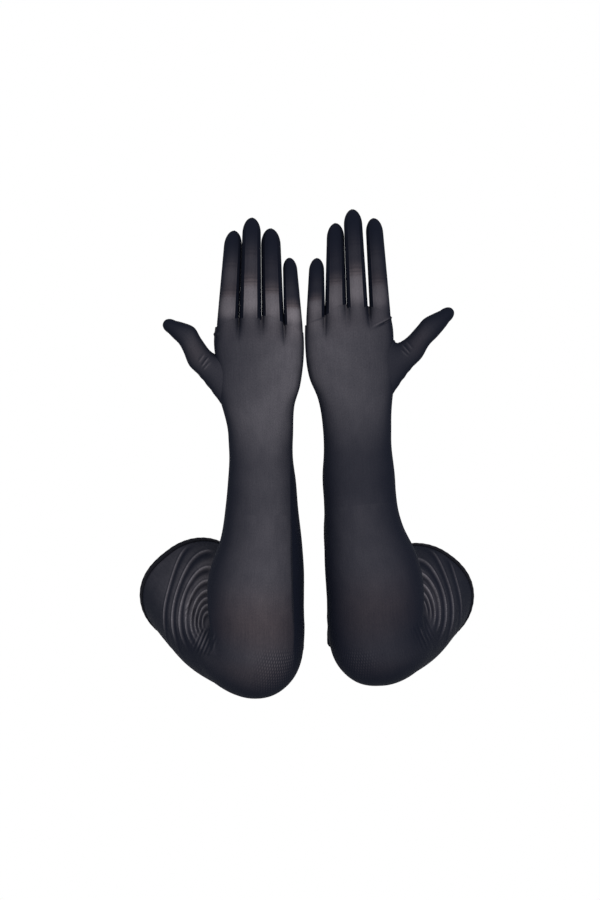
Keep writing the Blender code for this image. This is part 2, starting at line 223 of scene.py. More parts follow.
@dataclass(frozen=True)
class Yarn:
    """Dense overlocked or turned fabric: near-black yarn in small slanting stitches."""

    name: str
    dark: tuple[float, float, float]
    light: tuple[float, float, float]
    pitch: float = 1.1 * MM
    slant: float = 35.0
    roughness: float = 0.9

    def build(self) -> bpy.types.Material:
        """Makes the material once and returns it.

        Returns:
            The material.
        """
        made = bpy.data.materials.get(self.name)
        if made is not None:
            return made
        made = bpy.data.materials.new(self.name)
        made.use_nodes = True
        tree = made.node_tree
        tree.nodes.clear()
        tools = NodeTools(tree)
        surface = tools.node("ShaderNodeBsdfPrincipled")
        output = tools.node("ShaderNodeOutputMaterial")
        tree.links.new(surface.outputs["BSDF"], output.inputs["Surface"])
        uv = tools.node("ShaderNodeUVMap", uv_map="UVMap").outputs["UV"]
        rows = tools.bands(uv, math.radians(self.slant), self.pitch)
        fuzz = tools.noise(uv, (900, 900, 1), 3.0)
        amount = tools.math("MULTIPLY", rows, tools.math("MULTIPLY_ADD", fuzz, 0.8, 0.4))
        tree.links.new(tools.mix(amount, self.dark, self.light), surface.inputs["Base Color"])
        bump = tools.node("ShaderNodeBump")
        bump.inputs["Strength"].default_value = 0.5
        bump.inputs["Distance"].default_value = 0.2 * MM
        tree.links.new(rows, bump.inputs["Height"])
        tree.links.new(bump.outputs["Normal"], surface.inputs["Normal"])
        surface.inputs["Roughness"].default_value = self.roughness
        surface.inputs["Specular IOR Level"].default_value = 0.04
        return made


@dataclass(frozen=True)
class Plaster:
    """A smooth matt floor with the faintest mottling."""

    name: str = "pale_floor"
    colour: tuple[float, float, float] = (0.86, 0.86, 0.86)

    def build(self) -> bpy.types.Material:
        """Makes the material and returns it.

        Returns:
            The material.
        """
        made = bpy.data.materials.new(self.name)
        made.use_nodes = True
        tree = made.node_tree
        surface = tree.nodes["Principled BSDF"]
        tools = NodeTools(tree)
        place = tools.node("ShaderNodeTexCoord").outputs["Object"]
        shade = tools.noise(place, (3, 3, 3), 2.0)
        darker = tuple(channel * 0.97 for channel in self.colour)
        tree.links.new(tools.mix(shade, self.colour, darker), surface.inputs["Base Color"])
        surface.inputs["Roughness"].default_value = 0.9
        surface.inputs["Specular IOR Level"].default_value = 0.1
        return made


class NodeTools:
    """Short ways to add shader nodes to one tree."""

    def __init__(self, tree: bpy.types.NodeTree) -> None:
        """Keeps the tree that the nodes go into."""
        self.tree = tree

    def node(self, kind: str, **settings: object) -> bpy.types.Node:
        """Adds a node of that type with those properties.

        Args:
            kind: the node's type.
            settings: its properties, by name.

        Returns:
            The new node.
        """
        made = self.tree.nodes.new(kind)
        for key, value in settings.items():
            setattr(made, key, value)
        return made

    def feed(self, socket: bpy.types.NodeSocket, value: object) -> None:
        """Links an output to the socket, or sets its constant.

        Args:
            socket: the input.
            value: an output, or the constant.
        """
        if isinstance(value, bpy.types.NodeSocket):
            self.tree.links.new(value, socket)
        else:
            socket.default_value = value

    def math(self, operation: str, *values: object) -> bpy.types.NodeSocket:
        """A Math node of that operation.

        Args:
            operation: what it does.
            values: its inputs, in order.

        Returns:
            Its output.
        """
        made = self.node("ShaderNodeMath", operation=operation)
        for socket, value in zip(made.inputs, values):
            self.feed(socket, value)
        return made.outputs[0]

    def mix(self, factor: object, first: object, second: object) -> bpy.types.NodeSocket:
        """A colour between two colours.

        Args:
            factor: 0 for the first, 1 for the second.
            first: a colour or an output.
            second: a colour or an output.

        Returns:
            The mixed colour.
        """
        made = self.node("ShaderNodeMix", data_type="RGBA")
        self.feed(made.inputs[0], factor)
        for socket, value in ((made.inputs[6], first), (made.inputs[7], second)):
            self.feed(socket, (*value, 1) if isinstance(value, tuple) else value)
        return made.outputs[2]

    def mapped(self, vector: object, scale: Sequence[float], turn: float) -> object:
        """The vector turned about Z and scaled.

        Args:
            vector: the place's output.
            scale: the scale along each axis.
            turn: the turn in radians.

        Returns:
            The turned and scaled place.
        """
        made = self.node("ShaderNodeMapping")
        self.feed(made.inputs["Vector"], vector)
        made.inputs["Rotation"].default_value = (0, 0, turn)
        made.inputs["Scale"].default_value = scale
        return made.outputs[0]

    def noise(self, vector: object, scale: Sequence[float], detail: float) -> object:
        """Smooth noise from 0 to 1, stretched by the scale.

        Args:
            vector: the place's output.
            scale: how fine it is along each axis.
            detail: how many finer layers it has.

        Returns:
            The noise.
        """
        made = self.node("ShaderNodeTexNoise")
        self.feed(made.inputs["Vector"], self.mapped(vector, scale, 0.0))
        made.inputs["Scale"].default_value = 1.0
        made.inputs["Detail"].default_value = detail
        return made.outputs[0]

    def bands(self, vector: object, turn: float, pitch: float) -> object:
        """Parallel bands of that pitch, from 0 to 1.

        Args:
            vector: the place's output.
            turn: the bands' turn in radians.
            pitch: from band to band, in metres.

        Returns:
            The bands.
        """
        made = self.node("ShaderNodeTexWave", wave_type="BANDS", bands_direction="X")
        self.feed(made.inputs["Vector"], self.mapped(vector, (1, 1, 1), turn))
        made.inputs["Scale"].default_value = math.pi / 10 / pitch
        return made.outputs["Fac"]


@dataclass(frozen=True)
class Wardrobe:
    """The finishes of one glove."""

    knit: Knit
    side_wall: Knit
    inside: Yarn
    hem: Yarn
    seam: Yarn


def wardrobe() -> Wardrobe:
    """The finishes of both gloves.

    Returns:
        The finishes. Each is one material, which both gloves share by its name.
    """
    yarn, cool, warm = (0.0052, 0.0066, 0.0128), (0.405, 0.376, 0.415), (0.460, 0.345, 0.335)
    return Wardrobe(
        Knit("stretch_knit", yarn, cool, warm),
        # The fingers' side walls: the same knit with a darker yarn, part of the painted shade between the
        # fingers.
        Knit("dark_stretch_knit", (0.0040, 0.0052, 0.0105), cool, warm),
        Yarn("knit_inside", (0.016, 0.015, 0.018), (0.05, 0.045, 0.05), 0.9 * MM, 0.0),
        Yarn("elastic_hem", (0.0035, 0.0038, 0.0055), (0.012, 0.012, 0.018), 1.2 * MM, 90.0),
        Yarn("overlocked_seam", (0.004, 0.0045, 0.007), (0.02, 0.021, 0.03)),
    )


# ---------------------------------------------------------------- sizes


@dataclass(frozen=True)
class FingerSize:
    """A finger in its hand's frame (mm): out from and above the wrist's centre."""

    name: str
    base: tuple[float, float]
    tip: tuple[float, float]
    first: float
    half_width: tuple[float, float]  # at the base and at the tip
    strips: tuple[str, ...]
    tones: tuple[float, float]  # how sheer its first and middle segments look
    set_back: float  # mm palmwards of the hand's plane


STRIPS = ("thumb_side_wall", "back", "little_side_wall", "palm")
INDEX_STRIPS = ("wrap", "side_wall")
LITTLE_STRIPS = ("side_wall", "wrap")


@dataclass(frozen=True)
class GloveSize:
    """One glove's reference points (mm) and directions.

    Attributes:
        trims: rows of (height above the elbow, extra on the thumb side, extra on the other side).
        hem_shift: how far the opening's centre lies out and up from the upper arm's line.
        crook_trim: how much less the opening's radius is on the crook side.
        bulge: how far the cloth stands out behind the elbow.
        crook: where the folds gather, out and up.
        thumb_shift: how far the thumb's root lies out and up from the hand's plan.
        hand_tones: how sheer the hand looks, by height above the wrist.
        fore_tones: how sheer the sleeve looks, by distance down the forearm from the elbow.
        tilt: how much sheerer the thumb side, the middle and the other side of the hand look.
        seam_line: how far out the side seam's dark strip ends, at each of SEAM_HEIGHTS.
    """

    name: str
    side: float
    elbow: tuple[float, float]
    wrist: tuple[float, float]
    upper_arm: tuple[float, float, float]
    lean: float
    thumb_joint: tuple[float, float, float]
    thumb_tip: tuple[float, float, float]
    web: tuple[tuple[float, float], ...]
    fingers: tuple[FingerSize, ...]
    trims: tuple[tuple[float, float, float], ...]
    hem_shift: tuple[float, float]
    crook_trim: float
    bulge: float
    crook: tuple[float, float]
    thumb_shift: tuple[float, float]
    hand_tones: tuple[float, ...]
    fore_tones: tuple[float, ...]
    tilt: tuple[float, float, float]
    seam_line: tuple[float, ...]


RIGHT = GloveSize(
    "right", -1, (43, 44), (40.5, 248), (0.40, 0.84, 0.37), 0,
    (66.0, 4, 78.0), (86.0, 3, 89.6),
    (
        (-39, 80), (-31, 85), (-22.5, 88.6), (-12.4, 93.5), (-3.6, 94.9), (7.8, 95.5), (18.9, 93.1),
        (39, 85),
    ),
    (
        FingerSize("index", (27.9, 90), (22.7, 172), 25.6, (9.8, 7.75), INDEX_STRIPS, (0.21, 0.36), 1.3),
        FingerSize("middle", (7.8, 93), (6.5, 183.6), 33.4, (10.15, 8.0), STRIPS, (0.27, 0.22), -1.0),
        FingerSize("ring", (-12.45, 92), (-10.3, 174), 26.3, (10.0, 8.6), STRIPS, (0.23, 0.12), 1.0),
        FingerSize("little", (-30.8, 87), (-27.4, 147.5), 17, (8.4, 6.1), LITTLE_STRIPS, (0.30, 0.10), -1.0),
    ),
    (
        (20, 0, 1.5), (43, 0, 1.8), (60, 0, 1.6), (100, 0, 0.9), (150, 0, 0.9), (178, -0.4, 0.9),
        (204, -0.9, 1.4), (218, 0.5, 0.9), (240, 0.8, 0.5), (260, 0.8, 0.9), (276, 1.0, 0.9),
        (292, 1.0, 0.6),
    ),
    (0.5, 1.1), 1.2, 10.3, (86.4, 66.0), (1.8, -2.9),
    (0.088, 0.080, 0.095, 0.135, 0.115, 0.10, 0.095, 0.105, 0.13),
    (0.17, 0.19, 0.13, 0.085, 0.094, 0.097, 0.097, 0.090),
    (2.0, 1.0, 0.6),
    (8.5, 9.2, 10.6, 11.6, 12.2, 11.2, 9.2),
)
LEFT = GloveSize(
    "left", 1, (66, 54), (46.4, 257), (0.30, 0.91, 0.285), -3.3,
    (72.6, 5, 72.0), (92.9, 7, 86.8),
    ((-39, 80), (-31, 85), (-21.5, 88.2), (-12.4, 93.5), (-4.3, 96.5), (7.0, 96.5), (16.4, 94.1), (37, 85)),
    (
        FingerSize("index", (27.1, 90), (26.3, 173), 25.6, (9.3, 7.5), INDEX_STRIPS, (0.145, 0.25), 1.0),
        FingerSize("middle", (7.0, 93), (7.6, 182), 33.4, (9.5, 8.1), STRIPS, (0.225, 0.15), -1.0),
        FingerSize("ring", (-12.5, 92), (-8.3, 170.5), 26.3, (9.9, 7.5), STRIPS, (0.17, 0.10), 1.0),
        FingerSize("little", (-30.9, 87), (-26.9, 140), 17, (8.5, 6.5), LITTLE_STRIPS, (0.17, 0.12), -1.0),
    ),
    (
        (20, 0, 1.8), (47, 0, 1.0), (74, 0, 0), (101, -0.9, -0.4), (114, -0.9, 0), (128, 0.2, 0.9),
        (141, 1.8, 1.8), (168, 2.6, 1.8), (195, 2.6, 1.2), (209, 2.0, 1.8), (222, 1.5, 2.6),
        (249, -0.2, 3.1), (263, -1.0, 2.5), (276, -1.6, 2.0), (292, -2.2, 1.4),
    ),
    (-2.4, -1.8), 2.8, 7.0, (102.6, 73.0), (4.6, -5.8),
    (0.050, 0.034, 0.055, 0.090, 0.098, 0.10, 0.105, 0.11, 0.12),
    (0.15, 0.19, 0.11, 0.050, 0.052, 0.058, 0.058, 0.052),
    (1.35, 1.0, 0.62),
    (22, 22.5, 20.5, 18, 15.6, 14.4, 12.0),
)


@dataclass(frozen=True)
class ClothSize:
    """Sizes that both gloves share."""

    wall: float = 0.35 * MM
    elbow_radius: float = 44 * MM
    hem_radius: float = 47 * MM
    upper_length: float = 145 * MM
    hem_width: float = 6.5 * MM
    split: float = 120 * MM  # up the forearm, where the elbow's piece meets the wrist's
    bend_reach: float = 22 * MM  # half the stretch of cloth that bends at the elbow
    wrist_band: float = 13 * MM
    sleeve_columns: int = 168
    hand_columns: int = 208
    finger_columns: int = 72
    thumb_columns: int = 64


CLOTH = ClothSize()
FOREARM = np.array(
    [
        (0, 44, 44, 0), (32, 44, 42.5, 3), (74, 41, 38, 0.4), (96, 36.5, 34.5, -2.6),
        (129, 32, 28.5, -3.1), (150, 30.2, 25, -2.9), (172, 28.4, 22, -1.7), (191, 29, 20.5, -0.6),
        (204, 29.8, 20, 0),
    ]
) * MM
HAND = np.array(
    [
        (0, 29.8, 20, 0), (14, 32, 19.5, 1), (32, 36.5, 18.5, 0), (52, 38.5, 17, -0.5),
        (72, 39.6, 15, 0), (96, 37.4, 12, -0.6),
    ]
) * MM
SEAM_HEIGHTS = (20, 60, 100, 150, 200, 230, 262)  # mm up, in the +X glove's frame
CROOK_RINGS = (  # mm: each fold's radius about the crook, and its height
    (5.0, 0.5), (8.4, 0.6), (11.6, 0.7), (15.2, 0.75), (20.0, 0.9), (26.0, 1.0), (33.0, 0.9), (41.0, 0.7),
)
BACK_RINGS = (52, 66, 82, 101, 121)  # mm up the upper sleeve
THUMB_CREASES = (  # in the hand's frame (mm): start, end and strength
    ((51.5, 49.0), (45.2, 57.4), 1.0), ((50.0, 46.3), (44.0, 52.5), 0.7),
    ((54.0, 53.0), (49.0, 60.0), 0.6),
)
HAND_SQUARENESS = 0.85
FINGER_DEPTH = 0.92
KNUCKLE_Y = -1 * MM
FINGERTIP_Y = 6 * MM
THUMB_PIVOT = np.array([38, 2, 42]) * MM
THUMB_START = np.array([52.5, 4, 61]) * MM
THUMB_RADIUS = 9.5 * MM


class Pose:
    """A glove's reference points and directions on the +X side."""

    def __init__(self, size: GloveSize) -> None:
        """Works out the elbow's and wrist's places and the directions between them.

        Args:
            size: the glove's sizes.
        """
        self.size = size
        self.elbow = np.array([size.elbow[0], 0, size.elbow[1]]) * MM
        self.wrist = np.array([size.wrist[0], 0, size.wrist[1]]) * MM
        self.upper = unit(size.upper_arm)
        self.fore = unit(self.wrist - self.elbow)
        self.axis = unit(np.cross(self.fore, self.upper))
        self.length = float(np.linalg.norm(self.wrist - self.elbow))
        self.crook_fore = np.cross(self.axis, self.fore)
        self.crook_upper = np.cross(self.upper, self.axis)
        self.across = np.cross([0, 1, 0], self.fore)
        self.half_bend = math.acos(float(self.fore @ self.upper)) / 2
        self.crook_angle = math.atan2(self.crook_fore[1], float(self.crook_fore @ self.across))
        lean = math.radians(size.lean)
        self.trims = np.array(size.trims)
        self.hand = np.array(
            [(math.cos(lean), 0, -math.sin(lean)), (0, 1, 0), (math.sin(lean), 0, math.cos(lean))]
        )

    def row(self, points: Array) -> Array:
        """Points of the +X glove in the frame of the pair, mirrored for the -X glove."""
        return np.asarray(points, float) * (self.size.side, 1, 1) - ORIGIN

    def from_hand(self, local: Array) -> Array:
        """Points of the hand's frame (out, palmwards, up) in the glove's frame."""
        return self.wrist + np.asarray(local, float) @ self.hand

    def trim(self, height: Array, cosine: Array) -> Array:
        """How much further out the cloth stands at that height above the elbow.

        Args:
            height: above the elbow, along the forearm and on up the hand.
            cosine: 1 on the thumb side of the section, -1 on the other.

        Returns:
            The shift along the section's width.
        """
        places = self.trims[:, 0]
        thumb, other = (curve_through(height / MM, places, self.trims[:, k]) for k in (1, 2))
        return (thumb * (1 + cosine) - other * (1 - cosine)) / 2 * MM

    def forearm(self, height: Array, angle: Array) -> Array:
        """Points round the forearm; angle 0 is the crook side.

        Args:
            height: above the elbow, along the forearm.
            angle: round it, in radians.

        Returns:
            The points, in the +X glove's frame.
        """
        at = height * FOREARM[-1, 0] / self.length
        width, depth, shift = (curve_through(at, FOREARM[:, 0], FOREARM[:, k]) for k in (1, 2, 3))
        cosine = np.cos(angle + self.crook_angle)
        out = shift + width * cosine + self.trim(height, cosine)
        back = depth * np.sin(angle + self.crook_angle)
        return (
            self.elbow + height[..., None] * self.fore + out[..., None] * self.across
            + back[..., None] * np.array([0, 1, 0])
        )

    def hand_tone(self, local: Array, normals: Array) -> Array:
        """How sheer the hand's knit looks, with painted light on one side near the wrist, for points of
        its frame (mm).

        Args:
            local: points of the hand's frame, in mm.
            normals: their unit normals.

        Returns:
            How much shows through at each point.
        """
        x, z = local[..., 0], local[..., 2]
        base = curve_through(z, (-90, -60, -25, 0, 20, 45, 70, 88, 97), self.size.hand_tones)
        tilt = curve_through(np.clip(x, -36, 36), (-36, 0, 36), self.size.tilt)
        # Painted light: near the wrist the side facing the thumb's way is painted darker and the other side
        # lighter, as if lit from the little-finger side.
        painted_side_light = 1 - (0.35 if self.size.side < 0 else 0.12) * normals[..., 0]
        return base * (painted_side_light + (tilt - painted_side_light) * smoothstep(0, 30, z))

    def behind_seam(self, p: Array) -> Array:
        """1 on the dark strip past the side seam, on the little-finger side, else 0.

        Args:
            p: points of the +X glove's frame, in mm.

        Returns:
            The share of the strip at each point.
        """
        line = curve_through(p[..., 2], SEAM_HEIGHTS, self.size.seam_line)
        fade = 1 - smoothstep(196, 232, p[..., 2])
        return smoothstep(0.55, -0.55, p[..., 0] - line) * fade

    def finger_share(self, size: FingerSize, z: Array) -> Array:
        """How far the tone has turned from the hand's to the finger's at that height (mm)."""
        return smoothstep(size.base[1] - 1, size.base[1] + 0.42 * size.first, z)

    def stand(self, distance: Array, normals: Array) -> Array:
        """How far the cloth stands out below and behind the elbow, by the way it faces.

        Args:
            distance: up the upper sleeve, or minus the distance down the forearm.
            normals: which way the cloth faces.

        Returns:
            The height above the plain tube.
        """
        reach = curve_through(distance / MM, (-60, -30, 0, 30, 60, 100, 145), (
            0, 0.0, 0.12, 0.66, 1.0, 0.90, 0.60))
        height = reach * smoothstep(-0.1, 0.85, normals @ unit([0.75, 0, -0.65])) * self.size.bulge
        corner = smoothstep(0.55, 1, normals @ unit([-0.78, 0, -0.62])) * ridge(distance / MM - 8, 17)
        return (height + corner * (1.0 if self.size.side < 0 else 2.6)) * MM

    def upper_sleeve(self, distance: Array, angle: Array, extra: Array = 0.0) -> Array:
        """Points round the upper sleeve, which widens a little to the arm opening.

        Args:
            distance: up the upper arm from the elbow.
            angle: round it; 0 is the crook side.
            extra: how much further out than the cloth.

        Returns:
            The points, in the +X glove's frame.
        """
        share = np.maximum(distance, 0) / CLOTH.upper_length
        widen = CLOTH.hem_radius - CLOTH.elbow_radius
        trim = self.size.crook_trim * MM * np.maximum(np.cos(angle), 0) ** 2
        radius = CLOTH.elbow_radius + (widen - trim) * share + extra
        shift = np.array([self.size.hem_shift[0], 0, self.size.hem_shift[1]]) * MM
        return (
            self.elbow + distance[..., None] * self.upper + (share**2)[..., None] * shift
            + (radius * np.cos(angle))[..., None] * self.crook_upper
            + (radius * np.sin(angle))[..., None] * self.axis
        )


# ---------------------------------------------------------------- surfaces


class Surface:
    """A grid of points, rows along a piece and columns round it, with its paint.

    Attributes:
        points: (rows, columns, 3) in the +X glove's frame.
        sheer: how much shows through the knit, with any painted highlights and shade, for each point.
        warm: from 0, cool, to 1, warm, for each point.
        weave: how plainly the slanting mesh of the knit shows, for each point.
        ring: whether the last column joins the first.
        normals: unit normals that point out of the tube.
        turned: whether the grid's own winding pointed inwards.
    """

    def __init__(self, points: Array, ring: bool = True) -> None:
        """Keeps the grid and gives it plain paint and its normals.

        Args:
            points: the grid of points.
            ring: whether the last column joins the first.
        """
        self.points = points
        self.ring = ring
        self.sheer = np.full(points.shape[:2], 0.2)
        self.warm = np.zeros(points.shape[:2])
        self.weave = np.full(points.shape[:2], 0.05)
        self.normals, self.turned = self._normals()

    def _normals(self) -> tuple[Array, bool]:
        """Unit normals that point out of the tube, from differences along rows and columns.

        Returns:
            The normals, and whether the grid's own winding pointed inwards.
        """
        along = np.gradient(self.points, axis=0)
        if self.ring:
            around = np.roll(self.points, -1, 1) - np.roll(self.points, 1, 1)
        else:
            around = np.gradient(self.points, axis=1)
        normal = np.cross(around, along)
        size = np.linalg.norm(normal, axis=-1, keepdims=True)
        centre = self.points.mean(axis=1, keepdims=True)
        out = self.points - centre
        normal = np.where(size > 1e-14, normal / np.maximum(size, 1e-14), 0)
        lost = size[..., 0] <= 1e-14
        normal[lost] = (out / np.maximum(np.linalg.norm(out, axis=-1, keepdims=True), 1e-9))[lost]
        turned = bool((normal * out).sum() < 0)
        return (-normal if turned else normal), turned

    def raise_by(self, height: Array) -> "Surface":
        """The same surface moved out along its normals by that height at each point.

        Args:
            height: how far, at each point.

        Returns:
            The moved surface, with the same paint.
        """
        made = Surface(self.points + self.normals * height[..., None], self.ring)
        made.sheer, made.warm, made.weave = self.sheer, self.warm, self.weave
        return made

    def rows(self, chosen: slice) -> "Surface":
        """The part of the surface in those rows, with the whole surface's normals.

        Args:
            chosen: which rows.

        Returns:
            That part.
        """
        made = copy.copy(self)
        for label in ("points", "normals", "sheer", "warm", "weave"):
            setattr(made, label, getattr(self, label)[chosen])
        return made


def grid_faces(rows: int, columns: int, ring: bool, start: int = 0) -> Array:
    """Quads of a grid whose points are numbered row by row from start.

    Args:
        rows: how many rows.
        columns: how many columns.
        ring: whether the last column joins the first.
        start: the first point's number.

    Returns:
        Four point numbers for each quad.
    """
    row = np.arange(rows - 1)[:, None] * columns
    column = np.arange(columns if ring else columns - 1)[None, :]
    after = (column + 1) % columns
    quads = [row + column, row + after, row + columns + after, row + columns + column]
    return np.stack(quads, axis=-1).reshape(-1, 4) + start


class Piece:
    """Makes one Blender object: a thin shell from a surface, with an inner face and closed rims."""

    def __init__(self, pose: Pose, name: str) -> None:
        """Keeps the pose and the piece's full name."""
        self.pose = pose
        self.name = f"{pose.size.name}_{name}"

    def shell(
        self,
        surface: Surface,
        outer: bpy.types.Material,
        inner: bpy.types.Material,
        columns: Optional[Array] = None,
        pole: Optional[Array] = None,
    ) -> bpy.types.Object:
        """Builds the shell.

        Args:
            surface: the outer surface of the whole piece.
            outer: the material outside.
            inner: the material inside and on the rims.
            columns: the columns that this panel takes, or None for the whole ring.
            pole: the point that closes the last row.

        Returns:
            The new object, at the origin.
        """
        ring = surface.ring and columns is None
        take = np.arange(surface.points.shape[1]) if columns is None else columns
        points, normals = surface.points[:, take], surface.normals[:, take]
        inside = points - normals * CLOTH.wall
        rows, count = points.shape[:2]
        total = rows * count
        verts = [points.reshape(-1, 3), inside.reshape(-1, 3)]
        faces = [grid_faces(rows, count, ring), grid_faces(rows, count, ring, total)[:, ::-1]]
        marks = [0, 1]
        step = np.arange(count if ring else count - 1)
        after = (step + 1) % count
        rims = [np.stack([after, step, step + total, after + total], -1)]
        if pole is None:
            low = (rows - 1) * count
            rims.append(np.stack([step, after, after + total, step + total], -1) + low)
        if not ring:
            side = np.arange(rows - 1) * count
            rims.append(np.stack([side, side + count, side + count + total, side + total], -1))
            side = side + count - 1
            rims.append(np.stack([side + count, side, side + total, side + count + total], -1))
        for rim in rims:
            faces.append(rim)
            marks.append(1)
        triangles = None
        if pole is not None:
            low = (rows - 1) * count
            tip = np.full(len(step), 2 * total)
            triangles = np.concatenate(
                [
                    np.stack([step + low, after + low, tip], -1),
                    np.stack([after + low + total, step + low + total, tip + 1], -1),
                ]
            )
            away = unit(pole - points[-1].mean(axis=0))
            verts.append(np.array([pole, pole - away * CLOTH.wall]))
        vertices = self.pose.row(np.vstack(verts))
        quads = np.concatenate(faces)
        mark = np.concatenate([np.full(len(f), m) for f, m in zip(faces, marks)])
        flip = surface.turned ^ (self.pose.size.side < 0)
        if flip:
            quads = quads[:, ::-1]
            triangles = None if triangles is None else triangles[:, ::-1]
        listed = quads.tolist() + ([] if triangles is None else triangles.tolist())
        mesh = bpy.data.meshes.new(self.name)
        mesh.from_pydata(vertices.tolist(), [], listed)
        mesh.materials.append(outer)
        mesh.materials.append(inner)
        if triangles is not None:
            half = len(triangles) // 2
            mark = np.concatenate([mark, np.zeros(half, int), np.ones(half, int)])
        mesh.polygons.foreach_set("material_index", mark.astype(np.int32))
        extra = 2 if pole is not None else 0
        for label in ("sheer", "warm", "weave"):
            values = getattr(surface, label)
            chosen = values[:, take].reshape(-1)
            ends = np.full(extra, values[-1].mean())
            layer = mesh.attributes.new(label, "FLOAT", "POINT")
            layer.data.foreach_set("value", np.concatenate([chosen, chosen, ends]).astype(np.float32))
        self._unwrap(mesh, points, ring, extra)
        mesh.shade_smooth()
        self._sharpen(mesh)
        obj = bpy.data.objects.new(self.name, mesh)
        bpy.context.scene.collection.objects.link(obj)
        return obj

    def _unwrap(self, mesh: bpy.types.Mesh, points: Array, ring: bool, extra: int) -> None:
        """UVs in metres: across from the mean girth, along from the mean length of the rows.

        Args:
            mesh: the shell's mesh.
            points: the outer grid.
            ring: whether it closes round.
            extra: how many pole points follow the two grids.
        """
        rows, count = points.shape[:2]
        loops = np.empty(len(mesh.loops), np.int32)
        mesh.loops.foreach_get("vertex_index", loops)
        girth = np.linalg.norm(np.diff(points, axis=1), axis=-1).sum(axis=1).mean()
        reach = np.linalg.norm(np.diff(points, axis=0), axis=-1).mean(axis=1)
        reach = np.concatenate([[0], np.cumsum(reach)])
        steps = np.linalg.norm(np.diff(points, axis=1), axis=-1).mean(axis=0)
        across = np.tile(np.concatenate([[0], np.cumsum(steps)]), rows)
        along = np.repeat(reach, count)
        u = np.concatenate([across, across, np.full(extra, girth / 2)])[loops]
        v = np.concatenate([along, along, np.full(extra, reach[-1])])[loops]
        if ring:  # a face over the join takes the far end of the girth
            starts = np.empty(len(mesh.polygons), np.int32)
            sizes = np.empty(len(mesh.polygons), np.int32)
            mesh.polygons.foreach_get("loop_start", starts)
            mesh.polygons.foreach_get("loop_total", sizes)
            owner = np.repeat(np.arange(len(starts)), sizes)
            high = np.maximum.reduceat(u, starts)
            u = np.where(high[owner] - u > girth / 2, u + girth * count / max(count - 1, 1), u)
        layer = mesh.uv_layers.new(name="UVMap")
        layer.data.foreach_set("uv", np.stack([u, v], -1).astype(np.float32).reshape(-1))

    @staticmethod
    def _sharpen(mesh: bpy.types.Mesh) -> None:
        """Marks the edges where the outer face meets a rim, so that each shades by itself.

        Args:
            mesh: the shell's mesh.
        """
        mark = np.empty(len(mesh.polygons), np.int32)
        mesh.polygons.foreach_get("material_index", mark)
        sizes = np.empty(len(mesh.polygons), np.int32)
        mesh.polygons.foreach_get("loop_total", sizes)
        edges = np.empty(len(mesh.loops), np.int32)
        mesh.loops.foreach_get("edge_index", edges)
        owner = np.repeat(mark, sizes)
        total = np.bincount(edges, owner, len(mesh.edges))
        layer = mesh.attributes.new("sharp_edge", "BOOLEAN", "EDGE")
        layer.data.foreach_set("value", total == 1)


# ---------------------------------------------------------------- the sleeve


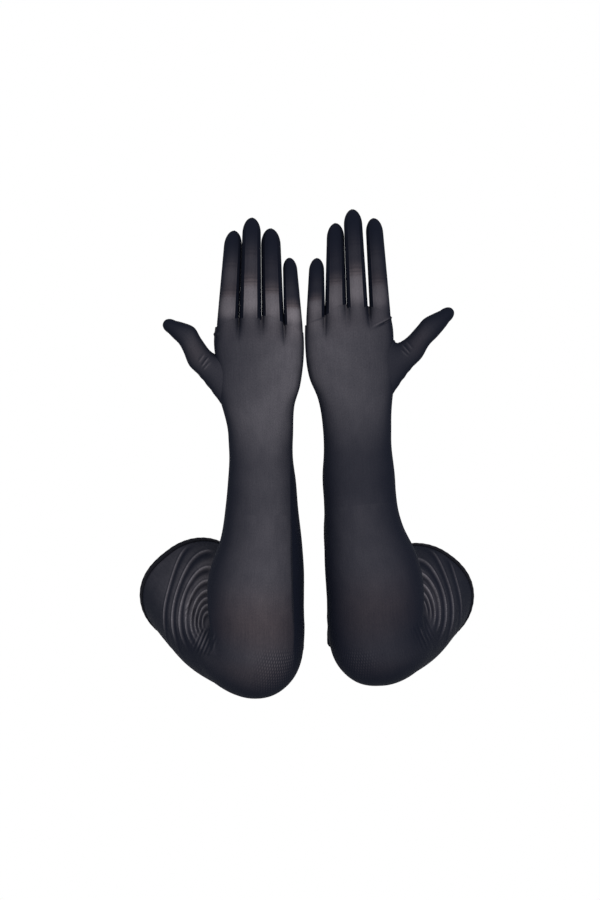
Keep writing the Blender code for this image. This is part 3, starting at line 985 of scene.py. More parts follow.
class Sleeve:
    """The sleeve's cloth from the arm opening over the elbow to the middle of the forearm."""

    def __init__(self, pose: Pose, finishes: Wardrobe) -> None:
        """Spaces the columns more closely beside the crook.

        Args:
            pose: the glove's pose.
            finishes: its finishes.
        """
        self.pose = pose
        self.finishes = finishes
        even = np.arange(CLOTH.sleeve_columns) * (2 * math.pi / CLOTH.sleeve_columns)
        self.angle = even - 0.45 * np.sin(even - math.radians(-48))

    def rows(self) -> Array:
        """Distances along the straightened sleeve, from the hem down to the forearm.

        Returns:
            Distances that fall from the hem's to minus the forearm's split.
        """
        reach = 34 * MM
        high = np.linspace(CLOTH.upper_length - 3 * MM, reach, 90)
        middle = np.linspace(reach, -reach, 76)[1:]
        low = np.linspace(-reach, -CLOTH.split, 52)[1:]
        return np.concatenate([high, middle, low])

    def points(self) -> Array:
        """The sleeve's shape at rest.

        The crook side is found from the straight tube that the cloth makes when the arm is
        straight: each point is turned back about the elbow by the share of the bend that it
        follows, which a bisection finds. The outer side follows a conic between the two halves.

        Returns:
            The grid, in the +X glove's frame.
        """
        pose = self.pose
        along = self.rows()[:, None] + 0 * self.angle
        angle = self.angle[None, :] + 0 * along
        up = pose.upper_sleeve(along, angle) - pose.elbow
        fore = pose.forearm(-along, angle) - pose.elbow
        above = along >= 0
        x = np.where(above, up @ pose.upper, -(fore @ pose.fore))
        y = np.where(above, up @ pose.crook_upper, fore @ pose.crook_fore)
        side = np.where(above, up @ pose.axis, fore @ pose.axis)
        folded = self._fold(x, y)
        inner = (
            pose.elbow + (folded[0])[..., None] * pose.upper
            + (folded[1])[..., None] * pose.crook_upper + side[..., None] * pose.axis
        )
        outer = self._round(along, angle)
        share = smoothstep(-15 * MM, -1 * MM, CLOTH.elbow_radius * np.cos(angle))
        return outer + (inner - outer) * share[..., None]

    def _fold(self, x: Array, y: Array) -> tuple[Array, Array]:
        """Turns straight-arm points (along the upper arm, towards the crook) back to rest.

        Args:
            x: along the upper arm.
            y: towards the crook.

        Returns:
            The same two measures in the bent pose.
        """
        half, reach = self.pose.half_bend, CLOTH.bend_reach
        turn = math.pi - 2 * half
        radius, target = np.hypot(x, y), np.arctan2(y, x)
        target = np.where(target < -math.pi / 2, target + 2 * math.pi, target)
        low, high = target - turn, target.copy()
        for _ in range(36):
            guess = (low + high) / 2
            share = smoothstep(-reach, reach, radius * np.sin(guess - half))
            over = guess + turn * share > target
            high, low = np.where(over, guess, high), np.where(over, low, guess)
        guess = (low + high) / 2
        return radius * np.cos(guess), radius * np.sin(guess)

    def _round(self, along: Array, angle: Array) -> Array:
        """The outer side: straight halves joined by a conic over the point of the elbow.

        Args:
            along: distances along the straightened sleeve.
            angle: round it, in radians.

        Returns:
            The points, in the +X glove's frame.
        """
        pose, edge = self.pose, 22 * MM
        upper = pose.upper_sleeve(np.maximum(along, edge), angle)
        fore = pose.forearm(np.maximum(-along, edge), angle)
        inward = CLOTH.elbow_radius * np.cos(angle)
        corner = (
            pose.elbow + (inward / math.tan(pose.half_bend))[..., None] * pose.fore
            + inward[..., None] * pose.crook_fore
            + (CLOTH.elbow_radius * np.sin(angle))[..., None] * pose.axis
        )
        share = np.clip((edge - along) / (2 * edge), 0, 1)[..., None]
        weight = (1 - 0.145 * np.cos(angle))[..., None]
        parts = (1 - share) ** 2, 2 * share * (1 - share) * weight, share**2
        return (parts[0] * upper + parts[1] * corner + parts[2] * fore) / sum(parts)

    def build(self) -> bpy.types.Object:
        """The sleeve's cloth.

        Returns:
            The new object.
        """
        surface = Surface(self.points())
        stand = self.pose.stand(self.rows()[:, None] + 0 * self.angle, surface.normals)
        surface = Surface(surface.raise_by(stand).points)
        height, light = self._wrinkles(surface)
        self._paint(surface, light)
        surface = surface.raise_by(height)
        knit, inside = self.finishes.knit.build(), self.finishes.inside.build()
        obj = Piece(self.pose, "sleeve").shell(surface, knit, inside)
        return obj

    def _wrinkles(self, surface: Surface) -> tuple[Array, Array]:
        """Folds of the cloth: rings round the crook, a fan under it and soft folds behind.

        Args:
            surface: the sleeve's surface.

        Returns:
            The height at each point, and the painted light at each point: highlight above 0, shade below 0.
        """
        pose = self.pose
        p = surface.points
        facing = smoothstep(-0.25, 0.35, -surface.normals[..., 1])
        along = self.rows()[:, None] + 0 * p[..., 0]
        across = p[..., 0] / MM - pose.size.crook[0]
        above = p[..., 2] / MM - pose.size.crook[1]
        stretch = np.where(above > 0, 1.9, 1.35)
        ring = np.hypot(across, above / stretch)
        sleeve = smoothstep(18 * MM, 34 * MM, along) * (1 - smoothstep(128 * MM, 138 * MM, along))
        outward = smoothstep(-6, 3, across)
        height, light = np.zeros_like(ring), np.zeros_like(ring)
        wave = 0.5 * np.sin(0.11 * above + 0.6) + 0.4 * np.sin(0.09 * across + 1)
        for k, (radius, rise) in enumerate(CROOK_RINGS):
            off = ring - radius - wave * (0.3 + 0.02 * radius)
            fade = smoothstep(-26 - 2 * k, -8, above) * facing * outward * sleeve
            height += rise * (ridge(off, 0.8) - 0.75 * ridge(off + 2.0, 1.4)) * fade
            # Painted highlight on each ring's crest and painted shade in the trough beside it.
            crest_highlight = 1.25 * ridge(off, 0.45) + 0.15 * ridge(off - 1.8, 1.6)
            light += (crest_highlight - 0.80 * ridge(off + 1.6, 1.1)) * fade
        lean = np.radians(62)
        step = across * math.sin(lean) + above * math.cos(lean)
        run = -(across * -math.cos(lean) + above * math.sin(lean))
        window = ridge(step + 4.5, 7.5) * smoothstep(3, 9, run) * (1 - smoothstep(22, 34, run))
        comb = np.sin(2 * math.pi * step / 3.4 + 0.16 * run)
        height += 0.38 * comb * window * facing
        # Painted highlights on the fan's crests and painted shade in its hollows.
        light += (1.0 * comb - 0.30) * window * facing
        behind = smoothstep(-0.1, 0.5, surface.normals[..., 1]) * sleeve
        rings = along / MM + 2.5 * np.sin(3 * self.angle)[None, :]
        for place in BACK_RINGS:
            off = rings - place
            height += 0.8 * (ridge(off, 1.6) - 0.6 * ridge(off - 3.2, 2.2)) * behind
            # Painted highlight along each fold's crest behind the elbow.
            light += 0.4 * ridge(off, 1.2) * behind
        tail = smoothstep(-0.05, 0.45, surface.normals[..., 1]) * smoothstep(-75, -40, along / MM)
        tail = tail * (1 - smoothstep(18, 34, along / MM))
        folds = np.sin(2 * math.pi * (along / MM + 4 * np.sin(2 * self.angle)[None, :]) / 13)
        height += 0.45 * folds * tail
        return height * MM, light

    def _paint(self, surface: Surface, light: Array) -> None:
        """How sheer and how warm each part of the sleeve looks.

        Args:
            surface: the sleeve's surface, which takes the paint.
            light: the painted light of the folds at each point, highlight above 0 and shade below 0.
        """
        pose = self.pose
        along = self.rows()[:, None] / MM + 0 * light
        p = surface.points / MM
        fore = curve_through(-along, (-150, -34, -8, 8, 34, 60, 90, 121), pose.size.fore_tones)
        # Painted light: below the elbow the side facing the thumb's way is painted darker and the other side
        # lighter, as if lit from the little-finger side.
        lean = 0.35 if pose.size.side < 0 else 0.12
        fore = fore * (1 - lean * surface.normals[..., 0] * smoothstep(0, 20, -along))
        low = smoothstep(40, 8 if pose.size.side < 0 else 14, p[..., 2])
        fore = fore * (1 - (0.30 if pose.size.side < 0 else 0.45) * low)
        under = smoothstep(10, 40, along) * smoothstep(70, 35, p[..., 2])
        fore = fore * (1 - 0.75 * under)
        warm = smoothstep(70, 20, -along) * smoothstep(-10, -22, along)
        warm = np.clip(warm * 0.75, 0, 1)
        # Painted highlights and painted shade of the folds scale how much shows through.
        shade = np.where(light > 0, 1 + light, np.maximum(0.12, 1 + light))
        seam = self.pose.behind_seam(p)
        surface.sheer = np.clip(fore * shade * (1 - 0.93 * seam), 0.001, 0.9)
        elbow_tip = smoothstep(40, 22, p[..., 2]) * smoothstep(10, -5, along)
        surface.warm = np.clip(warm + 0.5 * elbow_tip, 0, 1)
        outer = (p[..., 0] - pose.size.elbow[0]) / 44
        surface.weave = 0.04 + 1.1 * smoothstep(48, 34, p[..., 2]) * smoothstep(0.2, -0.5, outer)

    def dress(self, obj: bpy.types.Object) -> None:
        """Bakes the sleeve's placement into its mesh and hides the solids that it replaces.

        Args:
            obj: the sleeve.
        """
        pose, side = self.pose, self.pose.size.name
        step = unit(pose.fore - pose.upper) * CLOTH.bend_reach
        tuple(pose.row(pose.elbow - step))
        tuple(pose.row(pose.elbow + step))
        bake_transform(obj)
        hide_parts(f"{side}_upper_sleeve", f"{side}_elbow_section", f"{side}_forearm_sleeve")


class Hem:
    """The turned elastic hem at the arm opening, with its row of stitches."""

    def __init__(self, pose: Pose, finishes: Wardrobe) -> None:
        """Keeps the pose and the finishes."""
        self.pose = pose
        self.finishes = finishes

    def build(self) -> bpy.types.Object:
        """A flat rounded band swept round the opening: a closed profile, closed round the arm.

        Returns:
            The new object.
        """
        profile = np.arange(20) * (2 * math.pi / 20)
        end = CLOTH.upper_length - CLOTH.hem_width / 2
        across = np.sign(np.cos(profile)) * np.abs(np.cos(profile)) ** 0.5 * CLOTH.hem_width / 2
        thick = np.sign(np.sin(profile)) * np.abs(np.sin(profile)) ** 0.7 * 0.85 * MM
        angle = np.arange(180) * (2 * math.pi / 180)
        pucker = 0.10 * MM * np.sin(45 * angle)
        distance = (end + across)[:, None] + 0 * angle
        round_sleeve = (
            np.cos(angle)[:, None] * self.pose.crook_upper + np.sin(angle)[:, None] * self.pose.axis
        )
        stand = self.pose.stand(distance, np.broadcast_to(round_sleeve, (*distance.shape, 3)))
        extra = thick[:, None] + 0.35 * MM + pucker[None, :] + stand
        grid = self.pose.upper_sleeve(distance, angle[None, :] + 0 * distance, extra)
        rows, columns = grid.shape[:2]
        row, column = np.arange(rows)[:, None], np.arange(columns)[None, :]
        corner = [
            row * columns + column,
            row * columns + (column + 1) % columns,
            (row + 1) % rows * columns + (column + 1) % columns,
            (row + 1) % rows * columns + column,
        ]
        faces = np.stack(corner, -1).reshape(-1, 4)
        name = f"{self.pose.size.name}_hem"
        mesh = bpy.data.meshes.new(name)
        mesh.from_pydata(self.pose.row(grid.reshape(-1, 3)).tolist(), [], faces.tolist())
        layer = mesh.uv_layers.new(name="UVMap")
        every_column, every_row = column + 0 * row, row + 0 * column
        around = np.stack([every_column, every_column + 1, every_column + 1, every_column], -1)
        round_profile = np.stack([every_row, every_row, every_row + 1, every_row + 1], -1)
        u = around.reshape(-1) * (2 * math.pi * CLOTH.hem_radius / columns)
        v = round_profile.reshape(-1) * (2.4 * CLOTH.hem_width / rows)
        layer.data.foreach_set("uv", np.stack([u, v], -1).astype(np.float32).reshape(-1))
        mesh.materials.append(self.finishes.hem.build())
        face_out(mesh)
        mesh.shade_smooth()
        obj = bpy.data.objects.new(name, mesh)
        bpy.context.scene.collection.objects.link(obj)
        return obj

    def stitches(self) -> bpy.types.Object:
        """A row of short raised stitches along the hem's inner edge, each a slim pod.

        Returns:
            The new object, which holds them all.
        """
        count, sides = 120, 6
        around = np.arange(count) * (2 * math.pi / count)
        share = np.linspace(-1, 1, 6)
        turn = np.arange(sides) * (2 * math.pi / sides)
        radius = 0.28 * MM * np.sqrt(np.clip(1 - share**2, 0, 1)) + 0.01 * MM
        place = around[:, None, None] + share[None, :, None] * 0.34 * (2 * math.pi / count) + 0 * turn
        distance = CLOTH.upper_length - CLOTH.hem_width - 0.1 * MM + radius[None, :, None] * np.cos(turn)
        extra = 0.12 * MM + radius[None, :, None] * np.sin(turn)
        distance, extra = distance + 0 * place, extra + 0 * place
        round_sleeve = (
            np.cos(place)[..., None] * self.pose.crook_upper + np.sin(place)[..., None] * self.pose.axis
        )
        extra = extra + self.pose.stand(distance, round_sleeve)
        grid = self.pose.upper_sleeve(distance, place, extra)
        rows, columns = len(share), sides
        one = grid_faces(rows, columns, True)
        shift = (np.arange(count) * rows * columns)[:, None, None]
        faces = (one[None] + shift).reshape(-1, 4).tolist()
        cap = np.arange(columns)
        ends = np.concatenate([(cap[::-1] + shift[:, 0]), (cap + (rows - 1) * columns + shift[:, 0])])
        name = f"{self.pose.size.name}_hem_stitches"
        mesh = bpy.data.meshes.new(name)
        mesh.from_pydata(self.pose.row(grid.reshape(-1, 3)).tolist(), [], faces + ends.tolist())
        layer = mesh.uv_layers.new(name="UVMap")
        co = grid.reshape(-1, 3)
        loops = np.empty(len(mesh.loops), np.int32)
        mesh.loops.foreach_get("vertex_index", loops)
        layer.data.foreach_set("uv", co[loops][:, (0, 2)].astype(np.float32).reshape(-1))
        mesh.materials.append(self.finishes.seam.build())
        face_out(mesh)
        mesh.shade_smooth()
        obj = bpy.data.objects.new(name, mesh)
        bpy.context.scene.collection.objects.link(obj)
        return obj

    def dress(self, band: bpy.types.Object, stitches: bpy.types.Object) -> None:
        """Both ride on the upper arm.

        Args:
            band: the hem's band.
            stitches: its row of stitches.
        """
        side = self.pose.size.name
        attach(band, f"{side}_upper_arm")
        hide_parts(f"{side}_hem_band")
        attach(stitches, f"{side}_upper_arm")


def face_out(mesh: bpy.types.Mesh) -> None:
    """Turns every face of a closed mesh outwards.

    Args:
        mesh: the mesh to turn.
    """
    work = bmesh.new()
    work.from_mesh(mesh)
    bmesh.ops.recalc_face_normals(work, faces=work.faces)
    work.to_mesh(mesh)
    work.free()


# ---------------------------------------------------------------- the hand


class Hand:
    """The knit from the middle of the forearm over the wrist and hand up to the webs."""

    def __init__(self, pose: Pose, finishes: Wardrobe) -> None:
        """Spaces the columns evenly round the hand.

        Args:
            pose: the glove's pose.
            finishes: its finishes.
        """
        self.pose = pose
        self.finishes = finishes
        count = CLOTH.hand_columns
        self.angle = np.arange(count) * (2 * math.pi / count)

    def hand_local(self, height: Array, angle: Array) -> Array:
        """Points round the hand in its own frame; angle 0 is the thumb side, a quarter is the palm.

        Near the webs the section turns into the four finger roots: its depth there is that of the
        nearest finger, which is nothing in the web between two of them.

        Args:
            height: above the wrist, along the hand.
            angle: round the hand, in radians.

        Returns:
            The points, in the hand's frame.
        """
        width, depth, shift = (curve_through(height, HAND[:, 0], HAND[:, k]) for k in (1, 2, 3))
        cos, sin = np.cos(angle), np.sin(angle)
        round_cos = np.sign(cos) * np.abs(cos) ** HAND_SQUARENESS
        out = shift + width * round_cos + self.pose.trim(height + self.pose.length, round_cos)
        full = depth * np.abs(sin) ** HAND_SQUARENESS
        roots = np.zeros_like(full)
        for finger in self.pose.size.fingers:
            half = finger.half_width[0] * MM
            lean = (finger.tip[0] - finger.base[0]) / (finger.tip[1] - finger.base[1])
            centre = finger.base[0] * MM + lean * (height - finger.base[1] * MM)
            off = (out - centre) / half
            roots = np.maximum(roots, half * FINGER_DEPTH * np.sqrt(np.clip(1 - off**2, 0, 1)))
        top = self.top(out)
        back = sin < 0
        reach = np.where(back, 30, 19) * MM
        turn = smoothstep(0, 1, (height - top + reach) / reach)
        turn = turn ** np.where(back, 1.7, 1.5)
        depth_here = full + (roots + 0.10 * MM - full) * turn
        return np.stack([out, np.sign(sin) * depth_here, height], axis=-1)

    def top(self, out: Array) -> Array:
        """Height of the web line at each place across the hand."""
        places, heights = zip(*self.pose.size.web)
        return curve_through(out, np.array(places) * MM, np.array(heights) * MM)

    def points(self) -> Array:
        """Forearm rows, a smooth join over the wrist, and hand rows that end on the web line.

        Returns:
            The grid, in the +X glove's frame.
        """
        pose, band = self.pose, CLOTH.wrist_band
        angle = self.angle[None, :]
        low = np.linspace(CLOTH.split, pose.length - band, 44)[:, None] + 0 * angle
        forearm = pose.forearm(low, angle - pose.crook_angle + 0 * low)
        rows = np.linspace(0, 1, 92)[:, None]
        squeeze = rows + 0.10 * np.sin(math.pi * rows) * rows
        height = band + (80 * MM - band) * squeeze + 0 * angle
        for _ in range(3):
            out = self.hand_local(height, angle + 0 * height)[-1, :, 0]
            height = band + (self.top(out)[None, :] - band) * squeeze
        hand = pose.from_hand(self.hand_local(height, angle + 0 * height))
        count = 22
        share = np.linspace(0, 1, count + 2)[1:-1, None, None]
        before, after = forearm[-1] - forearm[-2], hand[1] - hand[0]
        gap = np.linalg.norm(hand[0] - forearm[-1], axis=-1, keepdims=True)
        before = before / np.linalg.norm(before, axis=-1, keepdims=True) * gap
        after = after / np.linalg.norm(after, axis=-1, keepdims=True) * gap
        join = (
            (1 + 2 * share) * (1 - share) ** 2 * forearm[-1] + share**2 * (3 - 2 * share) * hand[0]
            + share * (1 - share) ** 2 * before - share**2 * (1 - share) * after
        )
        return np.concatenate([forearm, join, hand])

    def build(self) -> bpy.types.Object:
        """The hand's cloth, which ends in the four finger roots.

        Returns:
            The new object.
        """
        surface = Surface(self.points())
        local = (surface.points - self.pose.wrist) @ self.pose.hand.T / MM
        height, light = self._creases(surface, local)
        self._paint(surface, local, light)
        raised = surface.raise_by(height)
        knit, inside = self.finishes.knit.build(), self.finishes.inside.build()
        return Piece(self.pose, "hand").shell(raised, knit, inside)

    def _creases(self, surface: Surface, local: Array) -> tuple[Array, Array]:
        """Small folds of the hand: at the thumb, across the index knuckle and at the wrist.

        Args:
            surface: the hand's surface.
            local: its points in the hand's frame, in mm.

        Returns:
            The height at each point, and the painted light at each point: highlight above 0, shade below 0.
        """
        back = smoothstep(0.1, 0.6, -surface.normals[..., 1])
        x, z = local[..., 0], local[..., 2]
        height, light = np.zeros_like(x), np.zeros_like(x)
        if self.pose.size.side > 0:
            off, run = beside_line(x, z, (40.0, 82.6), (18.5, 73.5))
            fade = smoothstep(-0.03, 0.12, run) * (1 - smoothstep(0.55, 1.05, run)) * back
            height += (0.9 * ridge(off - 1.0, 1.0) - 0.8 * ridge(off + 0.8, 0.8)) * fade
            # Painted highlight on the crease's raised edge and painted shade in the hollow beside it.
            light += (0.9 * ridge(off - 1.3, 0.9) - 0.85 * ridge(off + 0.6, 0.9)) * fade
            # A painted shade line across the little finger's knuckle, with no fold under it.
            off, run = beside_line(x, z, (-38.0, 82.0), (-24.5, 85.5))
            fade = smoothstep(0.0, 0.2, run) * (1 - smoothstep(0.9, 1.1, run)) * back
            light += -0.4 * ridge(off, 0.8) * fade
        nub = ridge(x - (38.6 if self.pose.size.side < 0 else 39.8), 3.0)
        place = 78.5 if self.pose.size.side < 0 else 82.4
        height += 1.1 * nub * ridge(z - place, 1.3) * smoothstep(0.6, 0.9, surface.normals[..., 0])
        wrist = ridge(z - 2, 13) * (0.25 * np.sin(z * 1.15 + 0.5 * np.sin(x * 0.18)))
        height += wrist * smoothstep(0.0, 0.6, surface.normals[..., 1])
        return height * MM, light

    def _paint(self, surface: Surface, local: Array, light: Array) -> None:
        """How sheer and how warm each part of the hand looks.

        Args:
            surface: the hand's surface, which takes the paint.
            local: its points in the hand's frame, in mm.
            light: the painted light of the creases at each point, highlight above 0 and shade below 0.
        """
        x, z = local[..., 0], local[..., 2]
        base = self.pose.hand_tone(local, surface.normals)
        for finger in self.pose.size.fingers:
            lobe = ridge((x - finger.base[0]) / finger.half_width[0], 1.0) ** 2
            rise = self.pose.finger_share(finger, z) * lobe
            base = base + (finger.tones[0] - base) * rise
        # Painted highlights and painted shade of the creases scale how much shows through.
        shade = np.where(light > 0, 1 + light, np.maximum(0.12, 1 + light))
        warm = 0.12 * ridge(z - 84, 12)
        p = surface.points / MM
        seam = self.pose.behind_seam(p) * smoothstep(-20, -30, z)
        surface.sheer = np.clip(base * shade * (1 - 0.93 * seam), 0.001, 0.9)
        surface.warm = np.clip(warm, 0, 1)

    def dress(self, obj: bpy.types.Object) -> None:
        """Bakes the piece's placement into its mesh and hides the solids that it replaces.

        Args:
            obj: the hand.
        """
        pose, side = self.pose, self.pose.size.name
        start = pose.wrist - pose.fore * CLOTH.wrist_band
        end = pose.wrist + pose.hand[2] * CLOTH.wrist_band
        tuple(pose.row(start))
        tuple(pose.row(end))
        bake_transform(obj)
        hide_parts(f"{side}_forearm_sleeve", f"{side}_wrist_section", f"{side}_hand_back",
                    f"{side}_hand_palm")


# ---------------------------------------------------------------- fingers


class Finger:
    """One finger: back and palm strips or a wrap, and dark side walls, in two parts along it."""

    def __init__(self, pose: Pose, size: FingerSize, finishes: Wardrobe) -> None:
        """Works out the finger's joints and where its two parts meet.

        Args:
            pose: the glove's pose.
            size: the finger's sizes.
            finishes: the glove's finishes.
        """
        self.pose = pose
        self.size = size
        self.finishes = finishes
        self.low = (size.base[1] - 15) * MM
        self.base = np.array([size.base[0], 0, size.base[1]]) * MM
        self.tip = np.array([size.tip[0] * MM, FINGERTIP_Y, size.tip[1] * MM])
        share = size.first / (size.tip[1] - size.base[1])
        self.middle = self.base + (self.tip - self.base) * share
        self.middle[1] = KNUCKLE_Y
        self.split = self.base[2] + size.first * MM * 0.52
        count = CLOTH.finger_columns
        self.angle = (np.arange(count) + 0.5) * (2 * math.pi / count)

    def surface(self) -> Surface:
        """The whole finger: level rings up its centre line, a rounded end, and knuckle folds.

        Returns:
            The painted surface, in the +X glove's frame.
        """
        wide, narrow = (width * MM for width in self.size.half_width)
        dome = narrow * 1.75
        top = self.tip[2]
        straight = np.linspace(self.low, top - dome, 88)
        bow = np.sin(np.linspace(0, math.pi / 2, 15)[1:-1])
        heights = np.concatenate([straight, top - dome + dome * bow])
        knots = (self.low, self.base[2], self.middle[2], (self.middle[2] + top) / 2, top)
        back = curve_through(heights, knots, (0, 0, KNUCKLE_Y, FINGERTIP_Y * 0.32, FINGERTIP_Y))
        back = back + self.size.set_back * MM * smoothstep(-3 * MM, 8 * MM, heights - self.base[2])
        lean = (self.tip[0] - self.base[0]) / (self.tip[2] - self.base[2])
        out = self.base[0] + lean * (heights - self.base[2])
        length = top - self.middle[2]
        reach = (heights - self.middle[2]) / length
        knuckles = 0.025 * ridge(reach, 0.11) - 0.025 * ridge(reach - 0.22, 0.13)
        knuckles += 0.022 * ridge(reach - 0.46, 0.10) - 0.02 * ridge(reach + 0.30, 0.22)
        rise = np.clip((heights - self.base[2]) / (top - self.base[2]), 0, 1)
        half = wide + (narrow - wide) * rise
        close = np.clip((heights - top + dome) / dome, 0, 1)
        half = half * np.sqrt(np.clip(1 - close**2.0, 0, 1))
        deep = half * FINGER_DEPTH * (1 + knuckles) * (1 - 0.10 * smoothstep(0.45, 1, reach))
        cos, sin = np.cos(self.angle)[None, :], np.sin(self.angle)[None, :]
        local = np.stack(
            [
                out[:, None] + half[:, None] * cos,
                back[:, None] + deep[:, None] * sin,
                heights[:, None] + 0 * cos,
            ],
            -1,
        )
        made = Surface(self.pose.from_hand(local))
        self.heights = heights
        self._paint(made, reach, heights)
        return made.raise_by(self._folds(reach, cos, sin))

    def _folds(self, reach: Array, cos: Array, sin: Array) -> Array:
        """Fine creases over the joints on the back, and a raised welt at each strip's edge.

        Args:
            reach: from 0 at the middle joint to 1 at the tip, for each row.
            cos: for each column, 1 on the thumb side.
            sin: for each column, 1 on the palm side.

        Returns:
            The height at each point.
        """
        reach = reach[:, None]
        back = smoothstep(0.3, 0.9, -sin)
        joints = ridge(reach, 0.08) + 0.7 * ridge(reach - 0.46, 0.06)
        folds = 0.22 * np.sin(reach * 120) * joints * back
        palm = smoothstep(0.3, 0.9, sin) * (ridge(reach, 0.045) + 0.8 * ridge(reach - 0.46, 0.04))
        welt = np.zeros_like(reach + cos)
        for edge in self.edges():
            off = np.angle(np.exp(1j * (self.angle - edge)))[None, :]
            welt += 0.20 * ridge(off, 0.07)
        lumps = 0.14 * np.sin(9 * reach + 2 * cos) * np.sin(5 * reach - 3 * sin) * np.abs(sin)
        return (folds - 0.35 * palm + welt + lumps) * MM

    def edges(self) -> list[float]:
        """Angles of the seams between this finger's strips.

        Returns:
            Two angles for an outer finger, four for an inner one.
        """
        strip, half_turn = math.radians(38), math.pi / 2
        every = [half_turn - strip, half_turn + strip, -half_turn - strip, -half_turn + strip]
        if self.size.strips == INDEX_STRIPS:
            return every[1:3]
        if self.size.strips == LITTLE_STRIPS:
            return [every[0], every[3]]
        return every

    def columns(self) -> dict[str, Array]:
        """The columns that each strip takes; neighbours share their edge's column.

        Returns:
            Column numbers by strip.
        """
        count = CLOTH.finger_columns
        nearest = [int(round(edge / (2 * math.pi) * count - 0.5)) % count for edge in self.edges()]
        if self.size.strips == INDEX_STRIPS:
            palm_edge, back_edge = nearest
            return {
                "side_wall": self._run(palm_edge, back_edge), "wrap": self._run(back_edge, palm_edge),
            }
        if self.size.strips == LITTLE_STRIPS:
            palm_edge, back_edge = nearest
            return {
                "side_wall": self._run(back_edge, palm_edge), "wrap": self._run(palm_edge, back_edge),
            }
        palm_thumb, palm_little, back_little, back_thumb = nearest
        return {
            "thumb_side_wall": self._run(back_thumb, palm_thumb),
            "palm": self._run(palm_thumb, palm_little),
            "little_side_wall": self._run(palm_little, back_little),
            "back": self._run(back_little, back_thumb),
        }

    @staticmethod
    def _run(first: int, last: int) -> Array:
        """Column numbers from first to last, round the ring."""
        count = CLOTH.finger_columns
        return np.arange(first, first + (last - first) % count + 1) % count

    def _paint(self, made: Surface, reach: Array, heights: Array) -> None:
        """Light between the web and the middle joint, darker beyond it, darkest at the tip.

        Args:
            made: the surface, which takes the paint.
            reach: from 0 at the middle joint to 1 at the tip, for each row.
            heights: above the wrist, for each row.
        """
        light, middle = self.size.tones
        lower = (heights - self.base[2]) / (self.size.first * MM) - 1
        along = np.where(heights < self.middle[2], lower, reach)
        tone = curve_through(
            along, (-1.6, -0.5, -0.25, -0.08, 0.08, 0.24), (1, 1, 0.92, 0.66, 0.36, 0.24)
        )
        upper = curve_through(
            along, (0.05, 0.28, 0.44, 0.58, 0.74, 1.0), (0.8, 1.0, 0.80, 0.36, 0.10, 0.03)
        )
        turn = smoothstep(0.02, 0.24, along)
        sheer = light * (tone + (middle * upper - tone) * turn)
        local = (made.points - self.pose.wrist) @ self.pose.hand.T / MM
        share = self.pose.finger_share(self.size, heights / MM)[:, None]
        hand = self.pose.hand_tone(local, made.normals)
        warm = 0.12 + 0.45 * ridge(along - 0.02, 0.16) + 0.25 * ridge(along - 0.45, 0.1)
        back = smoothstep(0.2, 0.8, -np.sin(self.angle))[None, :]
        bend = (0.85 * np.cos(self.angle) ** 2)[None, :] * 0.03
        place = along[:, None] + bend
        # Painted shade in fine creases across the back of each joint.
        painted_crease_shade = ridge(place + 0.03, 0.016) + 0.8 * ridge(place - 0.05, 0.016)
        painted_crease_shade = painted_crease_shade + 0.6 * ridge(place + 0.11, 0.014)
        painted_crease_shade = painted_crease_shade + 0.6 * ridge(place - 0.43, 0.016) + 0.5 * ridge(place - 0.50, 0.016)
        made.sheer = np.clip(hand + (sheer[:, None] - hand) * share, 0.001, 0.9)
        made.sheer = made.sheer * (1 - 0.38 * np.clip(painted_crease_shade, 0, 1) * back)
        made.warm = np.clip(warm, 0, 1)[:, None] + 0 * made.warm

    def build(self) -> list[tuple[bpy.types.Object, bool, str]]:
        """Every strip, as (object, whether it is the end part, strip).

        Returns:
            The strips of both parts.
        """
        surface = self.surface()
        row = int(np.searchsorted(self.heights, self.split))
        pole = self.pose.from_hand(self.tip)
        made = []
        for ending, rows in ((False, slice(0, row + 1)), (True, slice(row, None))):
            part = surface.rows(rows)
            for strip, columns in self.columns().items():
                dark = "side_wall" in strip
                knit = self.finishes.side_wall if dark else self.finishes.knit
                painted = copy.copy(part)
                # The side walls face the neighbouring fingers: real strips of the glove, painted near-black
                # as painted shade between the fingers.
                if dark:
                    painted.sheer = part.sheer * 0.03 + 0.001
                    painted.warm = part.warm * 0
                name = f"{self.size.name}_{strip}" + ("_end" if ending else "")
                obj = Piece(self.pose, name).shell(
                    painted, knit.build(), self.finishes.inside.build(), columns,
                    pole if ending else None,
                )
                made.append((obj, ending, strip))
        return made

    def dress(self, strips: list[tuple[bpy.types.Object, bool, str]]) -> None:
        """Bakes each strip's placement into its mesh and hides the solids that it replaces.

        Args:
            strips: what build gave.
        """
        side, name, pose = self.pose.size.name, self.size.name, self.pose
        for obj, ending, strip in strips:
            if ending:
                up = unit(self.tip - self.middle)
                start, end = self.middle - up * 7 * MM, self.middle + up * 7 * MM
                if name == "little":
                    start = self.middle - up * 6 * MM
                tuple(pose.row(pose.from_hand(start)))
                tuple(pose.row(pose.from_hand(end)))
                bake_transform(obj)
                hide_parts(f"{side}_{name}_tip")
            else:
                up = unit(self.middle - self.base)
                start, end = self.base - up * 8 * MM, self.base + up * 8 * MM
                tuple(pose.row(pose.from_hand(start)))
                tuple(pose.row(pose.from_hand(end)))
                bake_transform(obj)
                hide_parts(f"{side}_{name}_{strip}")


# ---------------------------------------------------------------- thumb


